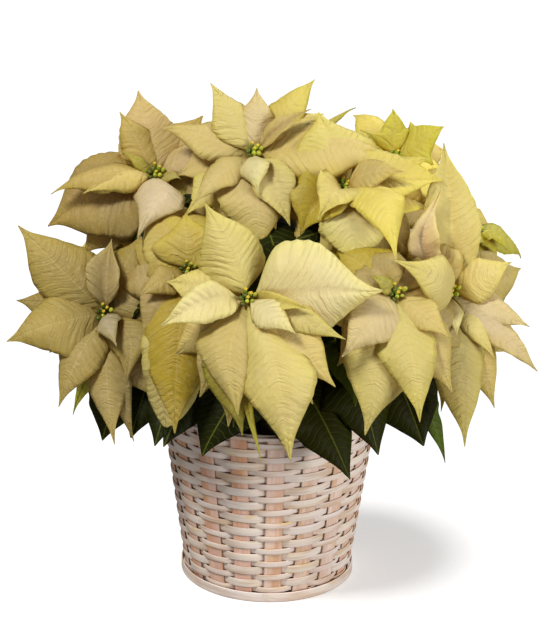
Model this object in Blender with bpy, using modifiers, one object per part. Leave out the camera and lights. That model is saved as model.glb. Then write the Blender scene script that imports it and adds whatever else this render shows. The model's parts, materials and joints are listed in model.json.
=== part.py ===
"""A cream poinsettia growing in a nursery pot, which stands in a whitewashed woven basket.

Lengths are in metres, +Z is up, -Y is the front and +X is to the right. The origin is the
middle of the basket's foot, on the surface that the basket stands on. The basket is a board,
a hoop round its foot, two bands at its rim, flat stakes and two flat splints that chase each
other over and behind them in one coil. The plant is one branching stem with its green leaves,
and on the end of each branch a head of bracts with a cluster of small flowers.
"""

import math
import random
from dataclasses import dataclass, field, replace

import bmesh
import bpy
from mathutils import Matrix, Vector
from mathutils.bvhtree import BVHTree

MM = 0.001
GAP = 0.3 * MM  # left between two pieces that touch

# The basket
FOOT_RADIUS = 71.4 * MM  # to the middle of the stakes, at the foot
FLARE = 0.141  # radius gained for each unit of height
BASKET_HEIGHT = 166 * MM
STAKES = 18
STAKE_WIDTH = 13.5 * MM
STAKE_THICKNESS = 1.5 * MM
STAKE_BELOW_RIM = 2 * MM
FRONT_STAKE_TURN = math.radians(3.8)
SPLINT_THICKNESS = 1.2 * MM
OVER_STAKE = 1.9 * MM  # from a stake's middle to a splint that passes outside it
BEHIND_STAKE = 2.6 * MM
PAST_STAKE = 0.8 * MM  # that a splint runs straight on beyond each edge of a stake
CLIMB_SHARE = 0.45  # of a stake's width: how much of the coil's rise falls on the stake
WIDE_SPLINT = 12.8 * MM
NARROW_SPLINT = 7.6 * MM
ROW_PITCH = WIDE_SPLINT + NARROW_SPLINT + 2 * GAP
HOOP_HEIGHT = 8.6 * MM
BAND_THICKNESS = 1.5 * MM
RIM_BAND_HEIGHT = 10 * MM
BOARD_THICKNESS = 4 * MM
ROUND_SIDES = 36

# The nursery pot and its soil
POT_FOOT_RADIUS = 56 * MM
POT_RIM_RADIUS = 78 * MM
POT_HEIGHT = 138 * MM
POT_WALL = 1.2 * MM
POT_LIP = 12 * MM  # height of the collar round the pot's rim
LIP_STEP = 3 * MM  # that the collar stands out from the wall
POT_SIDES = 20
SOIL_BELOW_RIM = 12 * MM
SOIL_DEPTH = POT_HEIGHT - SOIL_BELOW_RIM - 2 * POT_WALL - GAP  # down to the pot's floor

# The plant
TRUNK_RADIUS = 7.5 * MM
TRUNK_TAPER = 0.7
TRUNK_SIDES = 8
TRUNK_IN_SOIL = 25 * MM
TRUNK_TOP = 172 * MM
FORKS = (148 * MM, 156 * MM, 164 * MM)  # heights on the trunk where branches leave it
BRANCH_RADIUS = 3.0 * MM
BRANCH_STEPS = 4
BRANCH_RISE = 0.45  # share of its length that a branch would go straight up at first
BRANCH_REACH = 0.30  # share of its length that it keeps to the head's direction at its end
STUB_RADIUS = 3.0 * MM
STUB_TOP = 5 * MM  # below the eye, the middle of the small flowers
STUB_END = 22 * MM  # below the eye
NECK = 8 * MM  # the straight end of a branch, below its head
BLADE_THICKNESS = 0.7 * MM
CLEARANCE = 0.6 * MM  # kept between the blades of different heads
FIRST_ROOT = 9 * MM  # below the eye: where the highest bract springs from the stub
ROOT_STEP = 1.2 * MM
ROOT_LEVELS = 7
LEAF_TILT = 0.35  # how much a green leaf faces up for each unit that it faces out

# The way a viewer in front looks at the plant: the bracts' tips are given in these directions
VIEW_DOWN = math.radians(21.2)
RIGHT = Vector((1, 0, 0))
UP = Vector((0, math.sin(VIEW_DOWN), math.cos(VIEW_DOWN)))
TOWARDS = Vector((0, -math.cos(VIEW_DOWN), math.sin(VIEW_DOWN)))

# Each outline gives the half width, as a share of the widest, at stations along the blade: the
# egg shape of a large bract, a simpler one, leaves with a pair of lobes, and a narrow blade
OVATE = ((0, 0.11), (0.10, 0.32), (0.32, 1.0), (0.66, 0.76), (1, 0.03))
PLAIN = ((0, 0.12), (0.31, 0.98), (0.66, 0.76), (1, 0.03))
LOBED = ((0, 0.05), (0.34, 0.06), (0.54, 0.90), (0.68, 1.0), (0.76, 0.58), (1, 0.03))
SHORT_STALK = ((0, 0.08), (0.14, 0.10), (0.40, 0.92), (0.54, 1.0), (0.64, 0.58), (1, 0.03))
SLIM = ((0, 0.16), (0.34, 0.98), (0.70, 0.72), (1, 0.05))

GOLDEN_ANGLE = math.radians(137.5)

# The small flowers: three buds on a cushion
BUDS = 3
BUD_SIDES = 3
BUD_AWAY = 2.4 * MM
BUD_HEIGHT = 6.5 * MM
BUD_RADIUS = 2.0 * MM
CUSHION_RADIUS = 5.2 * MM
CUSHION_HEIGHT = 2 * MM
STUB_SIDES = 6


@dataclass
class Bract:
    """One bract: its tip from the head's eye, in mm to the right, up and towards the viewer."""

    across: float
    up: float
    out: float
    width: float
    arch: float = 10
    fold: float = -14
    outline: tuple = OVATE


@dataclass
class Head:
    """A whorl of bracts: its eye and the way it looks, and the bracts that were placed by hand."""

    name: str
    eye: tuple
    looks: tuple
    bracts: tuple = ()
    whorl: int = 0  # bracts added all round by a rule
    reach: float = 100


@dataclass
class Leaf:
    """A green leaf: the branch that it grows from, how far along it, and the leaf's tip in mm."""

    branch: str
    along: float
    tip: tuple
    width: float
    arch: float = 16
    fold: float = -12
    outline: tuple = LOBED


HEADS = (
    Head("front", (-20, -130, 307), (0.0, -0.85, 0.5), (
        Bract(-36, 76, -12, 62, arch=8, fold=-16),
        Bract(112, 5, 2, 62, arch=26, fold=-8),
        Bract(37, -134, 14, 62, arch=24, fold=-20),
        Bract(-71, -25, 10, 34, arch=10, fold=12, outline=SLIM),
        Bract(-2, -97, 6, 52, arch=14, fold=-12),
        Bract(74, -73, 4, 50, arch=16, fold=-12),
        Bract(-14, -116, -14, 50, arch=12, fold=-10),
    )),
    Head("front_right", (105, -100, 302), (0.15, -0.8, 0.55), (
        Bract(-46, -55, 25, 46, arch=14, fold=-12),
        Bract(20, -108, 14, 46, arch=18, fold=-16),
        Bract(-25, -120, 0, 62, arch=14, fold=-12),
        Bract(44, -38, 8, 30, arch=10, fold=-14, outline=SLIM),
        Bract(-46, 50, -14, 50, arch=10, fold=-10),
        Bract(10, 62, -16, 46, arch=10, fold=-10),
        Bract(48, -84, -8, 46, arch=12, fold=-12),
    )),
    Head("left", (-143, -60, 265), (-0.2, -0.8, 0.5), (
        Bract(17, -62, 28, 40, arch=16, fold=-20),
        Bract(-74, 72, -8, 52, arch=10, fold=-12),
        Bract(-81, -27, 4, 56, arch=14, fold=-14),
        Bract(-36, -82, 4, 38, arch=14, fold=-12),
        Bract(60, 37, -4, 46, arch=10, fold=-14),
        Bract(12, -113, 4, 38, arch=14, fold=-16),
        Bract(6, 62, -12, 34, arch=6, fold=24, outline=SLIM),
        Bract(46, -74, -4, 48, arch=12, fold=-12),
    )),
    Head("front_left", (-71, -80, 313), (-0.1, -0.75, 0.6), (
        Bract(-8, -139, 6, 54, arch=20, fold=-14),
        Bract(-39, -24, 12, 28, arch=8, fold=-12, outline=SLIM),
        Bract(3, 62, -6, 52, arch=8, fold=-12),
        Bract(-46, 46, -14, 44, arch=8, fold=-12),
        Bract(-26, -104, -10, 42, arch=14, fold=-12),
        Bract(-36, -64, 0, 44, arch=10, fold=-12),
    )),
    Head("right", (153, -50, 285), (0.15, -0.8, 0.5), (
        Bract(-7, 127, -22, 50, arch=8, fold=16),
        Bract(-51, 26, 15, 44, arch=10, fold=-14),
        Bract(14, -133, -4, 46, arch=18, fold=-16),
        Bract(51, 25, 5, 36, arch=8, fold=-12, outline=SLIM),
        Bract(68, -30, -4, 28, arch=8, fold=-14, outline=SLIM),
        Bract(76, -68, -12, 27, arch=12, fold=-12, outline=SLIM),
        Bract(-43, 68, -12, 48, arch=8, fold=-10),
    )),
    Head("top", (-17, 0, 393), (0.0, -0.6, 0.8), (
        Bract(8, -80, 10, 58, arch=16, fold=-14),
        Bract(5, -40, 28, 31, arch=12, fold=-18, outline=SLIM),
        Bract(123, -6, -5, 48, arch=14, fold=-12),
        Bract(-38, 56, -12, 36, arch=6, fold=-16, outline=SLIM),
        Bract(2, 53, -14, 32, arch=6, fold=-18, outline=SLIM),
        Bract(52, 62, -30, 34, arch=6, fold=-12, outline=SLIM),
        Bract(-79, 17, -10, 32, arch=8, fold=-12, outline=SLIM),
        Bract(33, -67, 14, 34, arch=12, fold=14, outline=SLIM),
    )),
    Head("top_left", (-102, 20, 365), (-0.1, -0.6, 0.75), (
        Bract(-10, -56, 25, 42, arch=14, fold=-16),
        Bract(-89, -22, 5, 36, arch=18, fold=-24, outline=SLIM),
        Bract(-93, -49, -22, 62, arch=14, fold=-8),
        Bract(-32, 51, -15, 32, arch=6, fold=-14, outline=SLIM),
        Bract(-17, 71, -30, 50, arch=8, fold=-10),
        Bract(40, 50, -34, 48, arch=6, fold=-10),
        Bract(58, 22, -8, 34, arch=8, fold=-12, outline=SLIM),
        Bract(32, -66, -14, 50, arch=10, fold=-10),
    )),
    Head("top_right", (62, -20, 369), (0.1, -0.6, 0.75), (
        Bract(22, -63, 22, 54, arch=14, fold=-10),
        Bract(41, -61, 14, 46, arch=12, fold=-14),
        Bract(-38, -36, 10, 48, arch=12, fold=16),
        Bract(78, -26, -4, 56, arch=10, fold=18),
        Bract(61, 32, -8, 28, arch=8, fold=-14, outline=SLIM),
        Bract(-30, -78, -8, 48, arch=10, fold=-12),
    )),
    Head("back_right_top", (107, 70, 366), (0.2, -0.55, 0.8), (
        Bract(-3, 38, -10, 30, arch=4, fold=-12, outline=SHORT_STALK),
        Bract(40, 24, -4, 30, arch=4, fold=-12, outline=SHORT_STALK),
    ), whorl=5, reach=92),
    Head("back_right", (183, 60, 306), (0.7, -0.25, 0.65), (
        Bract(24, -22, 4, 24, arch=6, fold=-12, outline=SHORT_STALK),
    ), whorl=6, reach=92),
    Head("back_left", (-120, 95, 305), (-0.6, 0.5, 0.65), whorl=6, reach=112),
    Head("back_top", (-20, 115, 350), (-0.1, 0.55, 0.8), whorl=6, reach=110),
    Head("back", (60, 150, 285), (0.25, 0.8, 0.55), whorl=6, reach=118),
)

LEAVES = (
    Leaf("front", 0.48, (69, -127, 142), 70),
    Leaf("front", 0.50, (-55, -137, 165), 66),
    Leaf("front", 0.40, (-16, -128, 168), 54),
    Leaf("front_right", 0.50, (93, -107, 156), 56),
    Leaf("right", 0.55, (133, -77, 152), 80),
    Leaf("right", 0.70, (153, -60, 129), 26),
    Leaf("front_right", 0.45, (62, -122, 200), 44),
    Leaf("front_left", 0.50, (-89, -117, 165), 44),
    Leaf("left", 0.60, (-116, -90, 158), 46),
    Leaf("left", 0.72, (-144, -60, 143), 40),
    Leaf("left", 0.80, (-170, -50, 164), 20, outline=SLIM),
    Leaf("back_left", 0.55, (-150, 70, 165), 62),
    Leaf("back_left", 0.65, (-90, 150, 175), 66),
    Leaf("back", 0.50, (0, 165, 160), 64),
    Leaf("back", 0.62, (90, 150, 150), 62),
    Leaf("back_right", 0.50, (160, 55, 165), 62),
    Leaf("top", 0.72, (10, -75, 300), 60, outline=OVATE),
    Leaf("top_left", 0.66, (-60, -50, 248), 60, outline=OVATE),
    Leaf("top_right", 0.66, (66, -62, 262), 60, outline=OVATE),
    Leaf("left", 0.74, (-110, -30, 290), 54, outline=OVATE),
    Leaf("right", 0.66, (118, -52, 240), 60, outline=OVATE),
    Leaf("front", 0.55, (8, -125, 215), 60, outline=OVATE),
    Leaf("back_right_top", 0.75, (25, 25, 300), 60, outline=OVATE),
    Leaf("back_right", 0.72, (200, 5, 232), 58, outline=OVATE),
    Leaf("left", 0.66, (-170, 30, 235), 60, outline=OVATE),
    Leaf("back_right", 0.70, (120, 140, 235), 60, outline=OVATE),
)


# The blade: bracts and leaves alike


@dataclass
class Blade:
    """A thin blade along a curved midrib, which arches towards the side that it faces."""

    root: Vector
    tip: Vector
    faces: Vector
    width: float
    arch: float
    fold: float
    outline: tuple = OVATE
    bend: float = 0.0  # how far the tip is bent towards the side that it faces
    length: float = 1.0  # of the way to the tip that it reaches
    side: Vector = field(init=False)
    normal: Vector = field(init=False)

    def __post_init__(self):
        chord = self.tip - self.root
        self.side = chord.cross(self.faces).normalized()
        self.normal = self.side.cross(chord).normalized()

    def midrib(self, u):
        """The point of the midrib at u, and its direction there."""
        chord = (self.tip - self.root) * self.length
        first = self.root + chord / 3 + self.normal * self.arch * 1.6
        second = self.root + chord * 2 / 3 + self.normal * self.arch
        end = self.root + chord
        w = 1 - u
        point = self.root * w**3 + first * 3 * w * w * u + second * 3 * w * u * u + end * u**3
        slope = (first - self.root) * w * w + (second - first) * 2 * w * u + (end - second) * u * u
        point += self.normal * self.bend * u**1.5
        slope += self.normal * self.bend * 0.5 * u**0.5
        return point, slope.normalized()

    def point(self, station, across, lift=0.0, wider=0.0):
        """A point of the blade: across runs from -1 to 1, and lift raises it off the middle plane."""
        u, share = self.outline[station]
        middle, along = self.midrib(u)
        up = self.side.cross(along)
        half = self.width / 2 * share + wider
        outward = self.side * math.cos(self.fold) * across + up * math.sin(self.fold) * abs(across)
        return middle + outward * half + up * lift


def blade_sheet(blade, lift=0.0, wider=0.0, first=0):
    """The blade's surface, one station of its outline a row from the first on, in triangles."""
    sheet = bmesh.new()
    rows = len(blade.outline) - 1 - first
    bmesh.ops.create_grid(sheet, x_segments=rows, y_segments=2, size=0.5)
    for vertex in sheet.verts:
        station = first + round((vertex.co.x + 0.5) * rows)
        vertex.co = blade.point(station, round(vertex.co.y * 2), lift, wider)
    bmesh.ops.triangulate(sheet, faces=sheet.faces[:])
    return sheet


def blade_object(blade, name):
    """The blade as a solid."""
    sheet = blade_sheet(blade)
    solid = mesh_object(name, sheet)
    thicken(solid, BLADE_THICKNESS)
    return solid


# Keeping the blades clear of each other


class Room:
    """What already stands in the plant's space, as search trees, each with the node it belongs to."""

    def __init__(self):
        self.taken = []
        self.own = []

    def add_object(self, node, solid):
        mesh = evaluated_mesh(solid)
        corners = [solid.matrix_world @ vertex.co for vertex in mesh.vertices]
        tree = BVHTree.FromPolygons(corners, [tuple(p.vertices) for p in mesh.polygons])
        self.taken.append((node, tree))
        bpy.data.meshes.remove(mesh)

    def add_blade(self, node, blade):
        for side in (-1, 1):
            lift = side * BLADE_THICKNESS / 2
            self.taken.append((node, tree_of(blade, lift)))
            self.own.append((node, tree_of(blade, lift, first=1)))

    def crosses_another(self, node, blade):
        """Whether the blade comes too near anything that belongs to another node."""
        reach = BLADE_THICKNESS / 2 + CLEARANCE
        skins = [tree_of(blade, side * reach, CLEARANCE) for side in (-1, 1)]
        return any(skin.overlap(tree) for owner, tree in self.taken if owner != node for skin in skins)

    def crossings_of_its_own(self, node, blade):
        """How many skins of the node's own blades it crosses, beyond their stalks."""
        skin = tree_of(blade, 0, first=1)
        return sum(1 for owner, tree in self.own if owner == node and skin.overlap(tree))


def tree_of(blade, lift, wider=0.0, first=0):
    """A search tree of the blade's surface."""
    sheet = blade_sheet(blade, lift, wider, first)
    tree = BVHTree.FromBMesh(sheet)
    sheet.free()
    return tree


BENDS = [0] + [sign * step * 4 * MM for step in range(1, 10) for sign in (1, -1)]
LENGTHS = (1.0, 0.92, 0.84, 0.74, 0.62, 0.5)
CROSSING_COST = 3  # in steps of bend, for each skin of its own node that a blade crosses


def settle(room, node, blade):
    """The blade, bent or shortened as little as keeps it clear of every other node."""
    for length in LENGTHS:
        clear = []
        for rank, bend in enumerate(BENDS):
            tried = replace(blade, bend=bend, length=length)
            if not room.crosses_another(node, tried):
                cost = rank + CROSSING_COST * room.crossings_of_its_own(node, tried)
                clear.append((cost, rank, tried))
        if clear:
            best = min(clear, key=lambda entry: entry[:2])[2]
            room.add_blade(node, best)
            return best
    return None


# Meshes, materials and joins


def clear_scene():
    for old in list(bpy.data.objects):
        bpy.data.objects.remove(old, do_unlink=True)


def new_collection(name):
    collection = bpy.data.collections.new(name)
    bpy.context.scene.collection.children.link(collection)
    return collection


def move_to(solid, collection):
    for old in list(solid.users_collection):
        old.objects.unlink(solid)
    collection.objects.link(solid)


def mesh_object(name, sheet):
    mesh = bpy.data.meshes.new(name)
    sheet.to_mesh(mesh)
    sheet.free()
    solid = bpy.data.objects.new(name, mesh)
    PART.objects.link(solid)
    return solid


def thicken(solid, thickness):
    shell = solid.modifiers.new("Thickness", "SOLIDIFY")
    shell.thickness = thickness
    shell.offset = 0


def evaluated_mesh(solid):
    depsgraph = bpy.context.evaluated_depsgraph_get()
    return bpy.data.meshes.new_from_object(solid.evaluated_get(depsgraph))


def apply_modifiers(solid):
    mesh = evaluated_mesh(solid)
    solid.modifiers.clear()
    solid.data = mesh


def keep_outer_skin(solid):
    """Fills any hollow that a join sealed and drops any loose scrap: the biggest skin stays."""
    sheet = bmesh.new()
    sheet.from_mesh(solid.data)
    waiting = set(sheet.verts)
    skins = []
    while waiting:
        edge = [waiting.pop()]
        skin = []
        while edge:
            vertex = edge.pop()
            skin.append(vertex)
            for link in vertex.link_edges:
                other = link.other_vert(vertex)
                if other in waiting:
                    waiting.remove(other)
                    edge.append(other)
        skins.append(skin)
    skins.sort(key=len)
    for skin in skins[:-1]:
        bmesh.ops.delete(sheet, geom=skin, context="VERTS")
    sheet.to_mesh(solid.data)
    sheet.free()


def fuse(body, pieces):
    """Joins the pieces to the body in one skin, and removes them."""
    together = new_collection(body.name + "_pieces")
    for piece in pieces:
        move_to(piece, together)
    union = body.modifiers.new("Fuse", "BOOLEAN")
    union.operation = "UNION"
    union.operand_type = "COLLECTION"
    union.collection = together
    apply_modifiers(body)
    keep_outer_skin(body)
    for piece in pieces:
        bpy.data.objects.remove(piece, do_unlink=True)
    bpy.data.collections.remove(together)


def finish(solid, colour, roughness):
    """Gives the solid its own material."""
    material = bpy.data.materials.new(solid.name)
    material.use_nodes = True
    shader = material.node_tree.nodes["Principled BSDF"]
    shader.inputs["Base Color"].default_value = (*colour, 1)
    shader.inputs["Roughness"].default_value = roughness
    shader.inputs["Metallic"].default_value = 0
    solid.data.materials.clear()
    solid.data.materials.append(material)


def turned(name, profile, sides, closed=True):
    """A profile of (radius, height) points, turned once round +Z: it runs down its outer side."""
    line = bmesh.new()
    corners = [line.verts.new((radius, 0, height)) for radius, height in profile]
    ends = corners[1:] + corners[:1] if closed else corners[1:]
    for start, end in zip(corners, ends):
        line.edges.new((start, end))
    solid = mesh_object(name, line)
    lathe = solid.modifiers.new("Turn", "SCREW")
    lathe.steps = sides
    lathe.render_steps = sides
    lathe.use_merge_vertices = True
    lathe.merge_threshold = 0.01 * MM
    return solid


def cylinder(name, radius, bottom, top, sides, top_radius=None):
    bpy.ops.mesh.primitive_cone_add(
        vertices=sides,
        radius1=radius,
        radius2=radius if top_radius is None else top_radius,
        depth=top - bottom,
        location=(0, 0, (top + bottom) / 2),
    )
    solid = bpy.context.object
    solid.name = name
    move_to(solid, PART)
    return solid


# The basket


def wall_radius(height):
    """From the axis to the middle of the stakes."""
    return FOOT_RADIUS + FLARE * height


def stake_turn(number):
    return FRONT_STAKE_TURN + number * math.tau / STAKES


def stake_frame(turn):
    """The directions away from the axis and round it, at that turn from the front."""
    away = Vector((math.sin(turn), -math.cos(turn), 0))
    return away, Vector((math.cos(turn), math.sin(turn), 0))


def make_stake(number):
    foot = GAP
    top = BASKET_HEIGHT - STAKE_BELOW_RIM
    lean = math.atan(FLARE)
    turn = stake_turn(number)
    away, _ = stake_frame(turn)
    middle = (foot + top) / 2
    bpy.ops.mesh.primitive_cube_add(
        size=1,
        location=away * wall_radius(middle) + Vector((0, 0, middle)),
        rotation=(Matrix.Rotation(turn, 3, "Z") @ Matrix.Rotation(lean, 3, "X")).to_euler(),
    )
    stake = bpy.context.object
    stake.name = f"stake_{number + 1:02d}"
    stake.scale = (STAKE_WIDTH, STAKE_THICKNESS, (top - foot) / math.cos(lean) - STAKE_THICKNESS)
    bpy.ops.object.transform_apply(location=False, rotation=False, scale=True)
    move_to(stake, PART)
    return stake


def weaver_path(first, start, odd):
    """The splint's route: each point with the directions away from the axis and round it."""
    rise = ROW_PITCH / STAKES
    last = BASKET_HEIGHT - WIDE_SPLINT / 2
    route = []
    number = first
    while start + (number - first) * rise < last:
        height = start + (number - first) * rise
        away, along = stake_frame(stake_turn(number))
        base = away * wall_radius(height) + Vector((0, 0, height))
        if number % 2 == odd:
            half = STAKE_WIDTH / 2 + PAST_STAKE
            for step in (-half, half):
                climb = Vector((0, 0, rise * CLIMB_SHARE * step / STAKE_WIDTH))
                route.append((base + away * OVER_STAKE + along * step + climb, away))
        else:
            route.append((base - away * BEHIND_STAKE, away))
        number += 1
    return route


def make_weaver(name, width, route):
    """A flat splint as wide as given, in one coil over and behind the stakes."""
    sheet = bmesh.new()
    spans = len(route) - 1
    bmesh.ops.create_grid(sheet, x_segments=spans, y_segments=1, size=0.5)
    for vertex in sheet.verts:
        middle, away = route[round((vertex.co.x + 0.5) * spans)]
        slant = (away * FLARE + Vector((0, 0, 1))).normalized()
        vertex.co = middle + slant * vertex.co.y * width
    bmesh.ops.triangulate(sheet, faces=sheet.faces[:])
    weaver = mesh_object(name, sheet)
    thicken(weaver, SPLINT_THICKNESS)
    return weaver


def band_profile(inner, bottom, top, lean):
    """A flat band's section: its inner face is at the given radius at the bottom."""
    shift = lean * (top - bottom)
    return (
        (inner + shift, top),
        (inner + BAND_THICKNESS + shift, top),
        (inner + BAND_THICKNESS, bottom),
        (inner, bottom),
    )


def make_basket():
    """The basket's board, hoop, rim bands, stakes and weavers."""
    lowest = BOARD_THICKNESS + GAP + WIDE_SPLINT / 2
    wide = make_weaver("weaver_wide", WIDE_SPLINT, weaver_path(0, lowest, 1))
    narrow = make_weaver("weaver_narrow", NARROW_SPLINT, weaver_path(-STAKES // 2, lowest, 0))
    stakes = [make_stake(number) for number in range(STAKES)]
    across_flats = math.cos(math.pi / ROUND_SIDES)
    board = cylinder("basket_base", FOOT_RADIUS - STAKE_THICKNESS / 2 - GAP, 0, BOARD_THICKNESS, ROUND_SIDES)
    outside = OVER_STAKE + SPLINT_THICKNESS / 2 + GAP
    hoop_inner = (wall_radius(HOOP_HEIGHT) + outside) / across_flats
    hoop = turned("bottom_hoop", band_profile(hoop_inner, 0, HOOP_HEIGHT, 0), ROUND_SIDES)
    rim_bottom = BASKET_HEIGHT - RIM_BAND_HEIGHT
    rim_outer = turned(
        "rim_outer",
        band_profile((wall_radius(rim_bottom) + outside) / across_flats, rim_bottom, BASKET_HEIGHT, FLARE),
        ROUND_SIDES,
    )
    inside = BEHIND_STAKE + SPLINT_THICKNESS / 2 + GAP + BAND_THICKNESS
    rim_inner = turned(
        "rim_inner",
        band_profile(wall_radius(rim_bottom) - inside, rim_bottom, BASKET_HEIGHT, FLARE),
        ROUND_SIDES,
    )
    for piece in (board, hoop, rim_outer, rim_inner):
        finish(piece, (0.66, 0.53, 0.40), 0.75)
    for stake in stakes:
        finish(stake, (0.62, 0.43, 0.32), 0.75)
    finish(wide, (0.64, 0.55, 0.46), 0.75)
    finish(narrow, (0.72, 0.66, 0.60), 0.75)
    return [board, hoop, rim_outer, rim_inner, wide, narrow, *stakes]


# The nursery pot, the soil and the branching stem


def make_pot():
    """The plastic pot: a thin tapered cup with a collar round its rim, on the basket's board."""
    foot = BOARD_THICKNESS + GAP
    rim = foot + POT_HEIGHT
    floor = foot + POT_WALL * 2
    collar = rim - POT_LIP
    neck_radius = POT_RIM_RADIUS - LIP_STEP
    return turned(
        "nursery_pot",
        (
            (0, floor),
            (POT_FOOT_RADIUS - POT_WALL, floor),
            (neck_radius - POT_WALL, collar),
            (POT_RIM_RADIUS - POT_WALL, rim),
            (POT_RIM_RADIUS, rim),
            (POT_RIM_RADIUS, collar),
            (neck_radius, collar),
            (POT_FOOT_RADIUS, foot),
            (0, foot),
        ),
        POT_SIDES,
        closed=False,
    )


def branch_start(head):
    """Where the branch of that head leaves the trunk."""
    order = [entry.name for entry in HEADS].index(head.name)
    return Vector((0, 0, FORKS[order % len(FORKS)]))


def head_axis(head):
    return Vector(head.looks).normalized()


def branch_point(head, along):
    """A point on the branch's curve from the trunk to the head."""
    start = branch_start(head)
    end = Vector(head.eye) * MM - head_axis(head) * (STUB_END + GAP + NECK)
    span = (end - start).length
    rise = start + Vector((0, 0, span * 0.45))
    reach = end - head_axis(head) * span * 0.30
    w = 1 - along
    return start * w**3 + rise * 3 * w * w * along + reach * 3 * w * along**2 + end * along**3


def make_branch(head):
    """The branch as a round stem, a little thinner towards the head."""
    curve = bpy.data.curves.new("branch_" + head.name, "CURVE")
    curve.dimensions = "3D"
    curve.bevel_depth = BRANCH_RADIUS
    curve.bevel_resolution = 1
    curve.use_fill_caps = True
    line = curve.splines.new("POLY")
    route = [branch_point(head, number / BRANCH_STEPS) for number in range(BRANCH_STEPS + 1)]
    route.append(route[-1] + head_axis(head) * NECK)
    line.points.add(len(route) - 1)
    for number, (point, place) in enumerate(zip(line.points, route)):
        point.co = (*place, 1)
        point.radius = 1.15 - 0.25 * number / len(route)
    drawn = bpy.data.objects.new(curve.name, curve)
    PART.objects.link(drawn)
    sheet = bmesh.new()
    sheet.from_mesh(evaluated_mesh(drawn))
    bmesh.ops.remove_doubles(sheet, verts=sheet.verts[:], dist=0.01 * MM)
    bpy.data.objects.remove(drawn, do_unlink=True)
    return mesh_object("branch_" + head.name, sheet)


def soil_top():
    return BOARD_THICKNESS + GAP + POT_HEIGHT - SOIL_BELOW_RIM


def make_stems():
    """The trunk with its branches in one skin."""
    foot = soil_top() - TRUNK_IN_SOIL
    trunk = cylinder(
        "stems_and_leaves", TRUNK_RADIUS, foot, TRUNK_TOP, TRUNK_SIDES, TRUNK_RADIUS * TRUNK_TAPER
    )
    fuse(trunk, [make_branch(head) for head in HEADS])
    return trunk


def make_soil(cutters):
    """The soil, level and a little below the pot's rim, with the hole that the trunk stands in."""
    top = soil_top()
    slope = (POT_RIM_RADIUS - LIP_STEP - POT_FOOT_RADIUS) / (POT_HEIGHT - POT_LIP - 2 * POT_WALL)
    radius = POT_RIM_RADIUS - LIP_STEP - POT_WALL - 1.5 * GAP
    soil = cylinder("soil", radius - slope * SOIL_DEPTH, top - SOIL_DEPTH, top, POT_SIDES, radius)
    foot = top - TRUNK_IN_SOIL - GAP
    hole = cylinder("trunk_hole", TRUNK_RADIUS + 4 * GAP, foot, top + SOIL_BELOW_RIM, 12)
    hole.hide_render = True
    hole.display_type = "WIRE"
    move_to(hole, cutters)
    cut = soil.modifiers.new("Trunk hole", "BOOLEAN")
    cut.operation = "DIFFERENCE"
    cut.object = hole
    return soil


# The heads


def towards_viewer(across, up, out):
    return (RIGHT * across + UP * up + TOWARDS * out) * MM


def blade_root(middle, axis, tip):
    """Where a blade springs from the stub: just inside its skin, on the side of the tip."""
    away = tip - middle
    return middle + (away - axis * away.dot(axis)).normalized() * STUB_RADIUS * 0.6


def placed_blades(head):
    """The blades of the bracts that were placed by hand."""
    eye = Vector(head.eye) * MM
    axis = head_axis(head)
    blades = []
    for number, bract in enumerate(head.bracts):
        tip = eye + towards_viewer(bract.across, bract.up, bract.out)
        below = FIRST_ROOT + ROOT_STEP * (number % ROOT_LEVELS)
        root = blade_root(eye - axis * below, axis, tip)
        fold = math.radians(bract.fold)
        blades.append(Blade(root, tip, axis, bract.width * MM, bract.arch * MM, fold, bract.outline))
    return blades


def whorl_blades(head, draw):
    """Blades all round the head, a golden angle apart, the outer ones longer and hanging lower."""
    eye = Vector(head.eye) * MM
    axis = head_axis(head)
    across = axis.cross(Vector((0, 0, 1))).normalized()
    blades = []
    for number in range(head.whorl):
        age = number / (head.whorl - 1)
        turn = number * GOLDEN_ANGLE + draw.uniform(-0.15, 0.15)
        away = Matrix.Rotation(turn, 3, axis) @ across
        reach = head.reach * MM * (0.62 + 0.42 * age) * draw.uniform(0.94, 1.06)
        fall = math.radians(-8 + 46 * age)
        tip = eye + away * reach * math.cos(fall) - axis * reach * math.sin(fall)
        tip.z -= 0.12 * reach
        below = FIRST_ROOT + ROOT_STEP * (ROOT_LEVELS - 1) * age
        root = blade_root(eye - axis * below, axis, tip)
        width = reach * draw.uniform(0.50, 0.58)
        arch = reach * draw.uniform(0.10, 0.18)
        fold = math.radians(draw.uniform(-18, -8))
        blades.append(Blade(root, tip, axis, width, arch, fold, PLAIN))
    return blades


def cone_object(name, place, sides, bottom_radius, top_radius, depth):
    """A faceted cone or rod: its middle at the place's origin, its axis along the place's Z."""
    sheet = bmesh.new()
    bmesh.ops.create_cone(
        sheet, cap_ends=True, segments=sides, radius1=bottom_radius, radius2=top_radius, depth=depth,
        matrix=place,
    )
    return mesh_object(name, sheet)


def standing(place, axis):
    """The frame at the place whose Z runs along the axis."""
    return Matrix.Translation(place) @ axis.to_track_quat("Z", "Y").to_matrix().to_4x4()


def make_eye(head):
    """The cluster of small flowers: a few buds of unlike height on one small cushion."""
    axis = head_axis(head)
    seat = standing(Vector(head.eye) * MM - axis * (STUB_TOP - GAP), axis)
    buds = []
    for number in range(BUDS):
        turn = number * math.tau / BUDS
        height = BUD_HEIGHT * (1 + 0.1 * number)
        middle = (BUD_AWAY * math.cos(turn), BUD_AWAY * math.sin(turn), 0.3 * CUSHION_HEIGHT + height / 2)
        place = seat @ Matrix.Translation(middle)
        buds.append(cone_object("bud", place, BUD_SIDES, BUD_RADIUS, BUD_RADIUS / 2, height))
    middle = seat @ Matrix.Translation((0, 0, CUSHION_HEIGHT / 2))
    name = "eye_" + head.name
    cushion = cone_object(name, middle, STUB_SIDES, STUB_RADIUS, CUSHION_RADIUS, CUSHION_HEIGHT)
    fuse(cushion, buds)
    return cushion


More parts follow.
